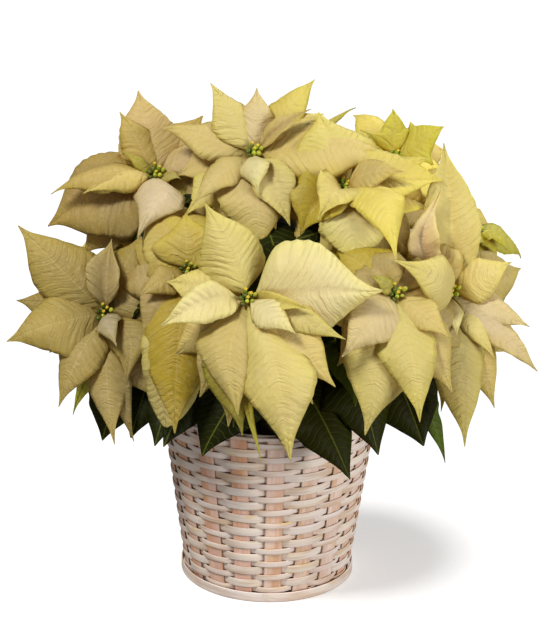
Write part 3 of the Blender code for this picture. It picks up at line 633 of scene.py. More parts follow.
def blade_relief(blade, u, v, half, lane, draw):
    """How high each point stands over the flat blade: fold, bulge, pleats and ruffles."""
    outward = np.abs(v) * half
    phase = math.tau * (1.3 * u + draw.random()) + draw.uniform(-3, 3) * v
    pleat = (np.abs(np.sin(math.pi * lane)) ** 0.8 - 0.6) * (0.65 + 0.5 * np.sin(phase))
    inside = np.clip(np.abs(v) * 5, 0, 1) * np.clip(u * 6, 0, 1) * np.clip((1 - u) * 6, 0, 1)
    height = math.sin(blade.fold) * (np.sqrt(outward**2 + SOFT_FOLD**2) - SOFT_FOLD)
    height = height + (0.20 + 0.25 * draw.random()) * half * np.abs(v) * (1 - np.abs(v) ** 1.5)
    height = height + blade.rib * pleat * inside * (1 - 0.6 * np.abs(v) ** 4)
    height = height - GROOVE * np.clip(1 - np.abs(v) * 9, 0, 1) * inside.max()
    for sign in (-1, 1):
        slow = ripple(u, 1.4, 2.6, draw)
        quick = ripple(u, 5.0, 9.0, draw)
        swell = np.sin(math.pi * u) ** 0.8
        ruffle = slow * np.abs(v) ** 1.8 + 0.25 * quick * np.abs(v) ** 4
        height = height + np.where(v * sign > 0, blade.wave * ruffle * swell, 0)
    return height


def blade_grid(blade, rows, columns):
    """The blade's points, its grain map and the place of each point along and across it."""
    draw = random.Random(blade.seed)
    chord = blade.tip - blade.root
    length = chord.length
    faces = Matrix.Rotation(blade.turn, 3, chord.normalized()) @ blade.faces
    side_way = chord.cross(faces).normalized()
    facing = np.array(side_way.cross(chord).normalized())
    side = np.array(side_way)
    v = np.linspace(-1, 1, columns + 1)[None, :]
    u = vein_rows(blade, length, rows, v)
    lane = vein_lane(blade, u, v, length, draw)
    middle, along = midrib_curve(blade, u, facing, side)
    up = np.cross(side, along)
    margin = 1.0
    for sign in (-1, 1):
        drift = 0.05 * ripple(u, 1.2, 2.4, draw)
        tooth = 0.014 * ripple(u, 8, 13, draw) * np.sin(math.pi * u)
        margin = margin + np.where(v * sign > 0, drift + tooth, 0)
    half = blade.width / 2 * smooth_curve(blade.outline, u) * margin
    height = blade_relief(blade, u, v, half, lane, draw)
    twist = draw.uniform(-0.3, 0.3) * (u - 0.2)
    flat = v * half * math.cos(blade.fold)
    sideways = flat * np.cos(twist) - height * np.sin(twist)
    raised = height * np.cos(twist) + flat * np.sin(twist)
    points = middle + side * sideways[..., None] + up * raised[..., None]
    grain = spread(lane * VEIN_SPACING, v * half)
    return points, grain, u, v


def blade_tint(blade, u, v):
    """The blade's colour: greener at its foot, rosier along the middle, yellower at its margin."""
    draw = random.Random(blade.seed + "tint")
    # The head's factor paints shade on the heads at the left and light on those at the right
    tint = seen(blade.tone) * draw.uniform(0.88, 1.05) * np.array(blade.cast)
    foot = 0.5 * np.clip(1 - u / draw.uniform(0.16, 0.28), 0, 1)[..., None] ** 1.5
    core = np.exp(-((u - 0.5) / 0.3) ** 2) * (1 - np.abs(v)) ** 0.7
    margin = np.clip(np.abs(v) ** 3 + np.clip((u - 0.7) / 0.3, 0, 1), 0, 1)
    middle = draw.uniform(0.2, 0.8) * core[..., None]
    rim = draw.uniform(0.3, 0.8) * margin[..., None]
    tint = tint * (1 + middle * (MIDDLE_CAST - 1)) * (1 + rim * (RIM_CAST - 1))
    return tint * (1 - foot) + seen(FOOT_GREEN) * blade.cast * foot


def add_blade(surfaces, blade, fine):
    """Adds the blade's grid, with rows close enough for its veins where it is a fine one."""
    row, column = (FINE_ROW, FINE_COLUMN) if fine else (COARSE_ROW, COARSE_COLUMN)
    rows = max(16, round((blade.tip - blade.root).length / row))
    columns = 2 * max(4, round(blade.width / column))
    points, grain, u, v = blade_grid(blade, rows, columns)
    surfaces.add_grid(points, grain, blade_tint(blade, u, v))


# Stems and where blades spring from them


def branch_point(head, along):
    """A point on the branch's curve from the trunk to the head."""
    start = Vector((0, 0, FORKS[HEADS.index(head) % len(FORKS)]))
    end = head.middle - head.axis * STUB_END
    span = (end - start).length
    rise = start + Vector((0, 0, span * BRANCH_RISE))
    reach = end - head.axis * span * BRANCH_REACH
    w = 1 - along
    return start * w**3 + rise * 3 * w * w * along + reach * 3 * w * along**2 + end * along**3


def straight_out(axis, turn, past=(0, 0, 1)):
    """A way at right angles to the axis, turned about it."""
    return Matrix.Rotation(turn, 3, axis) @ axis.cross(Vector(past)).normalized()


def towards_viewer(across, up, out):
    return (RIGHT * across + UP * up + TOWARDS * out) * MM


def blade_root(middle, axis, tip):
    """Where a blade springs from the stub: just inside its skin, on the side of the tip."""
    away = tip - middle
    return middle + (away - axis * away.dot(axis)).normalized() * STUB_RADIUS * 0.6


def placed_blades(head):
    """The blades of the bracts that were placed one by one."""
    blades = []
    for number, bract in enumerate(head.bracts):
        tip = head.middle + towards_viewer(bract.across, bract.up, bract.out)
        below = FIRST_ROOT + ROOT_STEP * (number % ROOT_LEVELS)
        root = blade_root(head.middle - head.axis * below, head.axis, tip)
        blades.append(Blade(
            f"{head.name} {number}", root, tip, head.axis, bract.width * MM, bract.arch * MM,
            math.radians(bract.fold), bract.tone, bract.outline, bract.wave * MM, bract.rib * MM,
            bract.bow * MM, bract.curl * MM, math.radians(bract.turn), head.cast,
        ))
    return blades


def whorl_blades(head):
    """Blades all round the head, a golden angle apart, the outer ones longer and hanging lower."""
    draw = random.Random(head.name)
    blades = []
    for number in range(head.whorl):
        age = number / (head.whorl - 1)
        away = straight_out(head.axis, number * GOLDEN_ANGLE + draw.uniform(-0.15, 0.15))
        reach = head.reach * MM * (0.62 + 0.42 * age) * draw.uniform(0.94, 1.06)
        fall = math.radians(-8 + 46 * age)
        tip = head.middle + away * reach * math.cos(fall) - head.axis * reach * math.sin(fall)
        tip.z -= 0.12 * reach
        below = FIRST_ROOT + ROOT_STEP * (ROOT_LEVELS - 1) * age
        root = blade_root(head.middle - head.axis * below, head.axis, tip)
        width = reach * draw.uniform(0.50, 0.58)
        arch = reach * draw.uniform(0.10, 0.18)
        fold = math.radians(draw.uniform(-18, -8))
        seed = f"{head.name} whorl {number}"
        blades.append(Blade(seed, root, tip, head.axis, width, arch, fold, head.tone, cast=head.cast))
    return blades


def skirt_blades(head):
    """Shorter bracts under the others, which close the gaps between them."""
    draw = random.Random("skirt " + head.name)
    blades = []
    for number in range(SKIRT_BRACTS):
        turn = number * math.tau / SKIRT_BRACTS + draw.uniform(-0.3, 0.3)
        away = straight_out(head.axis, turn)
        reach = draw.uniform(66, 84) * MM
        fall = math.radians(draw.uniform(10, 28))
        below = FIRST_ROOT + ROOT_STEP * ROOT_LEVELS + number * SKIRT_STEP
        base = head.middle - head.axis * below
        tip = base + away * reach * math.cos(fall) - head.axis * reach * math.sin(fall)
        width = reach * draw.uniform(0.60, 0.72)
        if away.z < SKIRT_TOP:
            blades.append(Blade(
                f"{head.name} skirt {number}", blade_root(base, head.axis, tip), tip, head.axis,
                width, LOW_ARCH, SKIRT_FOLD, draw.choice((BUFF, TAN, head.tone)),
                wave=SKIRT_WAVE, cast=head.cast,
            ))
    return blades


def inner_leaf_blades():
    """Dark leaves up every branch, which shade the inside of the crown."""
    blades = []
    for head in HEADS:
        draw = random.Random("inner " + head.name)
        for number, along in enumerate(INNER_LEAVES):
            root = branch_point(head, along)
            onward = (branch_point(head, along + 0.05) - root).normalized()
            turn = number * GOLDEN_ANGLE + draw.uniform(0, 6)
            away = straight_out(onward, turn, past=(0.2, 0.1, 1))
            length = draw.uniform(62, 78) * MM * (0.78 if along > 0.8 else 1)
            tip = root + (away + onward * 0.45).normalized() * length
            tip.z -= INNER_LEAF_DROOP
            blades.append(Blade(
                f"inner {head.name} {number}", root, tip, onward + Vector((0, 0, 0.4)),
                draw.uniform(42, 52) * MM, LOW_ARCH, LEAF_FOLD, DEEP_GREEN,
            ))
    return blades


def outer_leaf_blades():
    """The leaves that were placed one by one, which face outward and up."""
    blades = []
    for number, leaf in enumerate(LEAVES):
        head = next(entry for entry in HEADS if entry.name == leaf.branch)
        tip = Vector(leaf.tip) * MM
        outward = Vector((tip.x, tip.y, 0)).normalized()
        faces = outward.lerp(Vector((0, -1, 0)), leaf.frontward) + Vector((0, 0, LEAF_TILT))
        blades.append(Blade(
            f"leaf {number}", branch_point(head, leaf.along), tip, faces, leaf.width * MM,
            leaf.arch * MM, LEAF_FOLD, leaf.tone, leaf.outline, bow=leaf.bow * MM,
        ))
    return blades


def tube_grid(route, radii, sides=12):
    """A round tube along the route, with one radius for each of its points."""
    route = np.array([tuple(point) for point in route])
    ways = np.gradient(route, axis=0)
    ways /= np.linalg.norm(ways, axis=1, keepdims=True)
    helper = np.array((0.31, 0.17, 0.93)) if abs(ways[0][2]) < 0.9 else np.array((1.0, 0.1, 0.0))
    first = np.cross(ways, helper)
    first /= np.linalg.norm(first, axis=1, keepdims=True)
    second = np.cross(ways, first)
    turn = np.linspace(0, math.tau, sides, endpoint=False)
    ring = first[:, None] * np.cos(turn)[None, :, None] + second[:, None] * np.sin(turn)[None, :, None]
    points = route[:, None] + ring * np.array(radii)[:, None, None]
    return points, spread(travelled(route)[:, None], turn * np.mean(radii))


# Materials


class Graph:
    """A short way to lay out a material's nodes."""

    def __init__(self, name):
        self.material = bpy.data.materials.new(name)
        self.material.use_nodes = True
        self.tree = self.material.node_tree
        self.shader = self.tree.nodes["Principled BSDF"]
        self.output = self.tree.nodes["Material Output"]

    def put(self, socket, value):
        """Sets the socket to a value or a colour, or links it to another node's output."""
        if isinstance(value, bpy.types.NodeSocket):
            self.tree.links.new(value, socket)
        elif isinstance(value, np.ndarray):
            socket.default_value = (*value.tolist(), 1.0)
        else:
            socket.default_value = value

    def node(self, kind, inputs=None, **settings):
        """A new node with the settings, and with what each input that is named takes."""
        node = self.tree.nodes.new(kind)
        for name, value in settings.items():
            setattr(node, name, value)
        for name, value in (inputs or {}).items():
            self.put(node.inputs[name], value)
        return node

    def math(self, operation, *values):
        inputs = dict(enumerate(values))
        return self.node("ShaderNodeMath", inputs, operation=operation).outputs[0]

    def times(self, value, factor):
        return self.math("MULTIPLY", value, factor)

    def total(self, *parts):
        """The sum of values that are each given with a factor."""
        whole, *others = [self.times(value, factor) for value, factor in parts]
        for part in others:
            whole = self.math("ADD", whole, part)
        return whole

    def between(self, value, low, high, start=0.0, end=1.0):
        """The value's place between low and high, clamped, from start to end."""
        inputs = {"Value": value, "From Min": low, "From Max": high, "To Min": start, "To Max": end}
        return self.node("ShaderNodeMapRange", inputs, interpolation_type="SMOOTHSTEP").outputs[0]

    def mix(self, share, first, second, blend="MIX"):
        inputs = {0: share, 6: first, 7: second}
        return self.node("ShaderNodeMix", inputs, data_type="RGBA", blend_type=blend).outputs[2]

    def tinge(self, colour, mask, low, high, most, towards):
        """The colour, drawn towards another one where the mask rises from low to high."""
        return self.mix(self.between(mask, low, high, 0.0, most), colour, seen(towards))

    def noise(self, place, scale, detail=3.0, rough=0.5):
        inputs = {"Vector": place, "Scale": scale, "Detail": detail, "Roughness": rough}
        return self.node("ShaderNodeTexNoise", inputs).outputs["Fac"]

    def place(self):
        return self.node("ShaderNodeTexCoord").outputs["Object"]

    def grain(self):
        """The grain map: metres along the piece and metres across it."""
        return self.node("ShaderNodeUVMap", uv_map="grain").outputs[0]

    def tint(self):
        return self.node("ShaderNodeAttribute", attribute_name="tint").outputs["Color"]

    def parts(self, vector):
        return self.node("ShaderNodeSeparateXYZ", {0: vector}).outputs

    def streaks(self, scale, detail=3.0, rough=0.5):
        """Noise on the grain map, with a scale along the grain and one across it."""
        stretched = self.node("ShaderNodeMapping", {"Vector": self.grain(), "Scale": (*scale, 1)})
        return self.noise(stretched.outputs[0], 1.0, detail, rough)

    def shaded(self, colour, reach, open_at, shade):
        """Painted shade: the colour, multiplied by the shade colour where the surface lies deep in a
        crevice.
        """
        opening = self.node("ShaderNodeAmbientOcclusion", {"Distance": reach}, samples=6)
        deep = self.between(opening.outputs["AO"], 0.15, open_at, 0.55, 0.0)
        return self.mix(deep, colour, self.mix(1.0, colour, seen(shade), "MULTIPLY"))

    def bump(self, height, depth, strength=1.0):
        inputs = {"Strength": strength, "Distance": depth, "Height": height}
        self.put(self.shader.inputs["Normal"], self.node("ShaderNodeBump", inputs).outputs[0])

    def finish(self, colour, roughness, specular=0.4):
        self.put(self.shader.inputs["Base Color"], colour)
        self.put(self.shader.inputs["Roughness"], roughness)
        self.put(self.shader.inputs["Specular IOR Level"], specular)
        return self.material

    def let_light_through(self, colour, share):
        """Mixes in light that passes through the blade."""
        glow = self.node("ShaderNodeBsdfTranslucent", {"Color": colour}).outputs[0]
        both = self.node("ShaderNodeMixShader", {0: share, 1: self.shader.outputs[0], 2: glow})
        self.put(self.output.inputs["Surface"], both.outputs[0])


def vein_masks(graph):
    """Two masks from the grain map: the midrib, and the side veins that slant to the margin."""
    along, across, _ = graph.parts(graph.grain())
    midrib = graph.between(graph.math("ABSOLUTE", across), 0.0, VEIN_WIDTH, 1.0, 0.0)
    wave = graph.math("SINE", graph.times(along, math.pi / VEIN_SPACING))
    veins = graph.between(graph.math("ABSOLUTE", wave), 0.0, 0.34, 1.0, 0.0)
    return midrib, veins


def bract_material():
    """Waxy cream bracts with sunken veins, which let warm light through, with painted shade in the vein
    creases and deep among the bracts.
    """
    graph = Graph("cream bract")
    place = graph.place()
    midrib, veins = vein_masks(graph)
    cloud = graph.noise(place, 22, 3)
    blush = graph.noise(place, 13, 2)
    speck = graph.noise(place, 420, 2)
    colour = graph.tinge(graph.tint(), cloud, 0.42, 0.74, 0.30, (214, 192, 84))
    colour = graph.tinge(colour, blush, 0.50, 0.72, 0.28, (228, 208, 160))
    # Painted shade: the side veins a little darker, as shade in their creases
    colour = graph.mix(graph.times(veins, 0.05), colour, seen((176, 146, 74)))
    colour = graph.mix(graph.times(midrib, 0.20), colour, seen((248, 236, 160)))
    colour = graph.tinge(colour, speck, 0.45, 0.75, 0.12, (250, 244, 206))
    # Painted shade: golden-brown where a bract lies deep among the others
    colour = graph.shaded(colour, 30 * MM, 0.85, (196, 158, 74))
    crumple = graph.noise(place, 150, 4, 0.62)
    streak = graph.streaks((190, 34), 3, 0.6)
    graph.bump(graph.total((crumple, 1.0), (streak, 2.2), (veins, -0.2)), 1.0 * MM)
    graph.let_light_through(graph.mix(0.55, colour, seen((236, 204, 60))), 0.36)
    return graph.finish(colour, 0.50, 0.35)


def leaf_material():
    """Dark glossy leaves with pale midribs and side veins."""
    graph = Graph("green leaf")
    place = graph.place()
    midrib, veins = vein_masks(graph)
    cloud = graph.noise(place, 40, 3)
    pale = seen((112, 118, 40))
    colour = graph.tinge(graph.tint(), cloud, 0.3, 0.75, 0.4, (50, 60, 14))
    colour = graph.mix(graph.times(veins, 0.22), colour, pale)
    colour = graph.mix(graph.times(midrib, 0.70), colour, pale)
    crumple = graph.noise(place, 240, 3, 0.6)
    graph.bump(graph.total((crumple, 0.8), (veins, -0.6)), 0.8 * MM, 0.9)
    graph.let_light_through(graph.mix(0.5, colour, seen((96, 120, 16))), 0.14)
    return graph.finish(colour, 0.46, 0.10)


def stem_material():
    graph = Graph("stem")
    streak = graph.streaks((60, 900))
    colour = graph.tinge(graph.tint(), streak, 0.35, 0.7, 0.5, (120, 110, 60))
    graph.bump(streak, 0.4 * MM, 0.6)
    return graph.finish(colour, 0.5)


def flower_material():
    graph = Graph("small flowers")
    speck = graph.noise(graph.place(), 900, 2)
    colour = graph.tinge(graph.tint(), speck, 0.4, 0.7, 0.25, (220, 210, 90))
    graph.bump(speck, 0.2 * MM, 0.5)
    return graph.finish(colour, 0.4)


def wood_material(name, wood, wash, cover, half_width):
    """A thin wooden strip under worn whitewash, with its grain along the strip, and painted shade that
    browns its edges and its crevices.
    """
    graph = Graph(name)
    _, across, _ = graph.parts(graph.grain())
    fibre = graph.streaks((90, 2600), 4, 0.6)
    streak = graph.streaks((26, 420))
    patch = graph.streaks((22, 90), 2)
    lengths = graph.streaks((11, 40), 1)
    stain = graph.streaks((34, 150), 1)
    cloud = graph.noise(graph.place(), 34, 2)
    bare = graph.mix(graph.between(fibre, 0.3, 0.7), seen(wood), seen(wood) * 0.62)
    worn = graph.total((patch, 0.6), (streak, 0.4))
    paint = graph.between(worn, 0.62 - cover * 0.35, 0.78 - cover * 0.35, 0.25, 0.95)
    colour = graph.mix(paint, bare, seen(wash))
    colour = graph.tinge(colour, cloud, 0.35, 0.7, 0.20, (196, 154, 120))
    colour = graph.tinge(colour, lengths, 0.40, 0.62, 0.38, (236, 224, 222))
    colour = graph.tinge(colour, lengths, 0.44, 0.30, 0.34, (218, 186, 146))
    colour = graph.tinge(colour, stain, 0.64, 0.74, 0.55, (232, 196, 126))
    # Painted shade: the strip darkened brown along its edges, where the strips meet
    side = graph.math("ABSOLUTE", across)
    colour = graph.tinge(colour, side, half_width * 0.86, half_width, 0.55, (150, 108, 78))
    # Painted shade: browner where the wood lies deep in the weave
    colour = graph.shaded(colour, 9 * MM, 0.75, (150, 92, 62))
    colour = graph.mix(1.0, colour, graph.tint(), "MULTIPLY")
    graph.bump(graph.total((fibre, 0.8), (paint, 0.4)), 0.35 * MM, 0.8)
    return graph.finish(colour, 0.85, 0.12)


def soil_material():
    graph = Graph("soil")
    crumb = graph.noise(graph.place(), 260, 4, 0.7)
    colour = graph.mix(graph.between(crumb, 0.35, 0.7), seen((38, 26, 18)), seen((84, 62, 44)))
    graph.bump(crumb, 1.2 * MM)
    return graph.finish(colour, 0.95, 0.2)


def pot_material():
    graph = Graph("pot plastic")
    mottle = graph.noise(graph.place(), 300, 2)
    colour = graph.mix(graph.between(mottle, 0.4, 0.6), seen((34, 46, 34)), seen((44, 58, 42)))
    graph.bump(mottle, 0.1 * MM, 0.4)
    return graph.finish(colour, 0.45)


def floor_material():
    graph = Graph("studio floor")
    mottle = graph.noise(graph.place(), 3, 2)
    colour = graph.mix(graph.between(mottle, 0.3, 0.7), seen((247, 247, 246)), seen((250, 250, 250)))
    graph.shader.inputs["Emission Color"].default_value = (1, 1, 1, 1)
    graph.shader.inputs["Emission Strength"].default_value = FLOOR_GLOW
    return graph.finish(colour, 0.8, 0.1)


# The plant


def attach(piece, slot, *nodes):
    """Rides the piece on the part's one body, in the place of the nodes that it stands for."""
    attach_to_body(piece, "root")
    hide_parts(*nodes)


def make_bracts(material):
    for head in HEADS:
        surfaces = Surfaces()
        for blade in placed_blades(head):
            add_blade(surfaces, blade, fine=blade.width > FINE_FROM_WIDTH)
        for blade in whorl_blades(head) + skirt_blades(head):
            add_blade(surfaces, blade, fine=False)
        depths = [STUB_END + (STUB_TOP - STUB_END) * step / 6 for step in range(7)]
        route = [head.middle - head.axis * depth for depth in depths]
        surfaces.add_grid(*tube_grid(route, [STUB_RADIUS] * 7), seen(STUB_GREEN), closed_round=True)
        piece = surfaces.make("bracts_" + head.name, material, BLADE_THICKNESS)
        slot = "lime_bract" if head.name == "back_right_top" else "cream_bract"
        attach(piece, slot, "head_" + head.name)


def bud_grid(place, radius, height, pinch=0.35):
    """An egg-shaped bud that stands on the place's Z, open and pinched at its top."""
    rings = np.linspace(0, 1, 9)
    turn = np.linspace(0, math.tau, 10, endpoint=False)
    bulge = radius * (np.sin(math.pi * (0.12 + 0.80 * rings)) ** 0.8)
    bulge[-1] *= pinch
    levels = (rings * height)[:, None]
    points = np.stack([
        bulge[:, None] * np.cos(turn),
        bulge[:, None] * np.sin(turn),
        np.broadcast_to(levels, (len(rings), len(turn))),
    ], axis=-1)
    spun = points.reshape(-1, 3) @ np.array(place.to_3x3()).T + np.array(place.translation)
    return spun.reshape(points.shape), spread(levels, turn * radius)


def bud_place(stand, number):
    """Where a bud stands on its head: out along a spiral, leaning further the further out."""
    away = BUD_SPREAD * math.sqrt(number / (BUDS - 1))
    across, up = math.cos(number * GOLDEN_ANGLE), math.sin(number * GOLDEN_ANGLE)
    lean = Matrix.Rotation(math.radians(4 + 26 * number / BUDS), 4, (-up, across, 0))
    return stand @ Matrix.Translation((away * across, away * up, 0)) @ lean


def make_flowers(material):
    """A cluster of green buds with yellow glands in the eye of every head."""
    for head in HEADS:
        draw = random.Random("flowers " + head.name)
        surfaces = Surfaces()
        upright = head.axis.to_track_quat("Z", "Y").to_matrix().to_4x4()
        stand = Matrix.Translation(head.middle - head.axis * STUB_TOP) @ upright
        for number in range(BUDS):
            place = bud_place(stand, number)
            height = draw.uniform(4.4, 7.6) * MM
            radius = draw.uniform(1.5, 2.2) * MM
            tint = seen(BUD_GREENS[number % 3]) * draw.uniform(0.8, 1.2)
            surfaces.add_grid(*bud_grid(place, radius, height), tint, closed_round=True)
            if number % 3 == 0:
                top = place @ Matrix.Translation((radius * 0.4, 0, height * 0.80))
                gland = bud_grid(top, 1.3 * MM, 1.7 * MM, 0.8)
                surfaces.add_grid(*gland, seen(GLAND_YELLOW), closed_round=True)
        piece = surfaces.make("flowers_" + head.name, material, FLOWER_THICKNESS)
        attach(piece, "small_flowers", "eye_" + head.name)


def make_stems(material):
    surfaces = Surfaces()
    heights = np.linspace(SOIL_TOP - TRUNK_SET_IN, TRUNK_TOP, 12)
    radii = np.linspace(TRUNK_RADIUS, TRUNK_RADIUS * 0.75, 12)
    radii[-1] *= 0.4
    trunk = tube_grid([(0, 0, height) for height in heights], radii, 16)
    surfaces.add_grid(*trunk, seen(BARK), closed_round=True)
    for head in HEADS:
        route = [branch_point(head, step / 30) for step in range(31)]
        radii = [BRANCH_RADIUS * (1.15 - 0.25 * step / 30) for step in range(31)]
        surfaces.add_grid(*tube_grid(route, radii), seen(BRANCH_GREEN), closed_round=True)
    attach(surfaces.make("stems", material), "green_leaf", "stems_and_leaves")


def make_leaves(name, blades, fine, material):
    surfaces = Surfaces()
    for blade in blades:
        add_blade(surfaces, blade, fine)
    attach(surfaces.make(name, material, BLADE_THICKNESS), "green_leaf", "stems_and_leaves")


# The pot, the soil and the basket


def make_round(name, node, slot, material, points, grain, tint=UNTINTED, capped=False):
    """A piece from one grid that closes round, with capped ends where it is a strip."""
    surfaces = Surfaces()
    surfaces.add_grid(points, grain, tint, closed_round=True)
    if capped:
        cap_ends(surfaces, points, grain, tint)
    attach(surfaces.make(name, material), slot, node)


def rings_of_points(radii, heights, turn):
    """A ring of points round +Z for each radius, from the front on."""
    return np.stack([
        radii[:, None] * np.sin(turn),
        -radii[:, None] * np.cos(turn),
        np.broadcast_to(heights, (len(radii), len(turn))),
    ], axis=-1)


def lathe_grid(profile, sides=128):
    """The profile of (radius, height) points turned round +Z."""
    radii, heights = np.array(profile, float).T
    turn = np.linspace(0, math.tau, sides, endpoint=False)
    grain = spread(turn * radii.max(), travelled(np.array(profile))[:, None])
    return rings_of_points(radii, heights[:, None], turn), grain


def make_pot(material):
    foot = BOARD_THICKNESS + SEAT_GAP
    rim = foot + POT_HEIGHT
    collar = rim - POT_LIP
    floor = foot + POT_WALL * 2
    neck = POT_RIM_RADIUS - LIP_STEP
    profile = (
        (0.1 * MM, floor), (POT_FOOT_RADIUS - POT_WALL, floor), (neck - POT_WALL, collar),
        (POT_RIM_RADIUS - POT_WALL, collar + 1 * MM), (POT_RIM_RADIUS - POT_WALL, rim - 0.5 * MM),
        (POT_RIM_RADIUS - POT_WALL / 2, rim), (POT_RIM_RADIUS, rim - 0.5 * MM), (POT_RIM_RADIUS, collar),
        (neck, collar - 0.5 * MM), (POT_FOOT_RADIUS, foot + 1 * MM), (POT_FOOT_RADIUS - 1 * MM, foot),
        (0.1 * MM, foot),
    )
    make_round("pot", "nursery_pot", "pot_plastic", material, *lathe_grid(profile, 96))


def make_soil(material):
    """A crumbly level top, rough in its geometry, over a plain tapered body."""
    draw = np.random.default_rng(11)
    radius = POT_RIM_RADIUS - LIP_STEP - POT_WALL - SOIL_PLAY
    rings = np.linspace(0.02, 1, 26)
    turn = np.linspace(0, math.tau, 96, endpoint=False)
    heights = SOIL_TOP - SOIL_ROUGHNESS + SOIL_ROUGHNESS * draw.random((26, 96))
    crust = rings_of_points(radius * rings, heights, turn)
    narrowing = (POT_FOOT_RADIUS - POT_WALL - SOIL_PLAY) / radius
    bottom = BOARD_THICKNESS + SEAT_GAP + POT_WALL * 2 + SEAT_GAP
    wall = crust[-1:] * (narrowing, narrowing, 0) + (0, 0, bottom)
    points = np.concatenate([crust, wall, wall * (0.02, 0.02, 1)])
    make_round("soil_top", "soil", "soil", material, points, points[..., :2])


def wander(places, spacing, draw):
    """Values that drift about nought, with a fresh one every spacing along the places."""
    knots = np.arange(places[0], places[-1] + 2 * spacing, spacing)
    return np.interp(places, knots, draw.normal(0, 1, len(knots)))


def wall_radius(height):
    return FOOT_RADIUS + FLARE * height


def strip_section(width, thickness, crown):
    """Points round a strip's section, as (across, outward): crowned outside, with soft edges."""
    across = np.array((-1, -0.94, -0.82, -0.3, 0.3, 0.82, 0.94, 1))
    softened = 0.35 * thickness * np.abs(across) ** 16
    outer = thickness / 2 + crown * (1 - across**2) - softened
    inner = -thickness / 2 + softened
    return np.concatenate([
        np.stack([across * width / 2, outer], axis=1),
        np.stack([across[::-1] * width / 2, inner[::-1]], axis=1),
    ])


def splint_grid(width, crown, at_front, odd, seed):
    """A flat splint coiled up the basket, over every other stake and behind the ones between."""
    draw = np.random.default_rng(seed)
    per_stake = 10
    climb = ROW_PITCH / STAKES
    lowest = width / 2 + SPLINT_ENDS_IN
    highest = BASKET_HEIGHT - SPLINT_ENDS_IN - width / 2
    first = math.ceil((lowest - at_front) / climb * per_stake)
    last = math.floor((highest - at_front) / climb * per_stake)
    place = np.arange(first, last + 1) / per_stake
    turn = FRONT_STAKE_TURN + place * math.tau / STAKES
    swing = np.cos(math.pi * (place - odd))
    swing = np.sign(swing) * np.abs(swing) ** 0.6
    middle = (OVER_STAKE - BEHIND_STAKE) / 2
    offset = middle + swing * (OVER_STAKE + BEHIND_STAKE) / 2
    wobble = wander(place, 1.0, draw) * SPLINT_WOBBLE
    height = at_front + place * climb + wobble
    radius = wall_radius(height) + offset
    away = np.stack([np.sin(turn), -np.cos(turn), np.zeros_like(turn)], axis=1)
    centre = away * radius[:, None] + np.array((0, 0, 1)) * height[:, None]
    slant = away * FLARE + np.array((0, 0, 1))
    slant /= np.linalg.norm(slant, axis=1, keepdims=True)
    section = strip_section(width, SPLINT_THICKNESS, crown)
    wide = 1 + 0.05 * wander(place, 0.5, draw)
    across = section[None, :, 0] * wide[:, None]
    points = centre[:, None] + slant[:, None] * across[..., None]
    points = points + away[:, None] * section[None, :, 1, None]
    return points, spread(travelled(centre)[:, None], across)


def cap_ends(surfaces, points, grain, tint):
    """Closes both ends of a strip whose section runs out and back along the same steps."""
    half = points.shape[1] // 2
    for end in (0, -1):
        outer = points[end, :half]
        inner = points[end, half:][::-1]
        face = np.stack([outer, inner])
        surfaces.add_grid(face, np.stack([grain[end, :half]] * 2), tint)


def make_stakes(material):
    """Flat upright staves, slightly crowned, with edges that wander a little."""
    section = strip_section(STAKE_WIDTH, STAKE_THICKNESS, STAKE_CROWN)
    heights = np.linspace(SEAT_GAP, BASKET_HEIGHT - STAKES_END_DOWN, 41)
    for number in range(STAKES):
        draw = np.random.default_rng(100 + number)
        turn = FRONT_STAKE_TURN + number * math.tau / STAKES
        away = np.array((math.sin(turn), -math.cos(turn), 0))
        along = np.array((math.cos(turn), math.sin(turn), 0))
        wide = 1 + 0.02 * wander(heights, STAKE_WANDER, draw)
        across = section[None, :, 0] * wide[:, None]
        outward = section[None, :, 1] + wall_radius(heights)[:, None]
        points = away * outward[..., None] + along * across[..., None]
        points = points + np.array((0, 0, 1)) * heights[:, None, None]
        grain = spread(heights[:, None] + number * GRAIN_SHIFT, across)
        worn = draw.uniform(0.80, 1.0)
        name = f"stake_{number + 1:02d}"
        tint = (1, worn, worn**1.4)
        make_round("wooden_" + name, name, "stake_splint", material, points, grain, tint, capped=True)


def band(name, node, material, inner, bottom, top, lean):
    """A hoop or rim band with soft edges, which leans out by its lean for each unit of height."""
    shift = lean * (top - bottom)
    edge = BAND_EDGE
    outer = inner + BAND_THICKNESS
    profile = (
        (inner, bottom + edge), (inner + edge, bottom), (outer - edge, bottom), (outer, bottom + edge),
        (outer, bottom + 2 * edge), (outer + shift, top - 2 * edge),
        (outer + shift, top - edge), (outer + shift - edge, top), (inner + shift + edge, top),
        (inner + shift, top - edge), (inner, bottom + edge),
    )
    make_round(name, node, "bare_wood", material, *lathe_grid(profile))


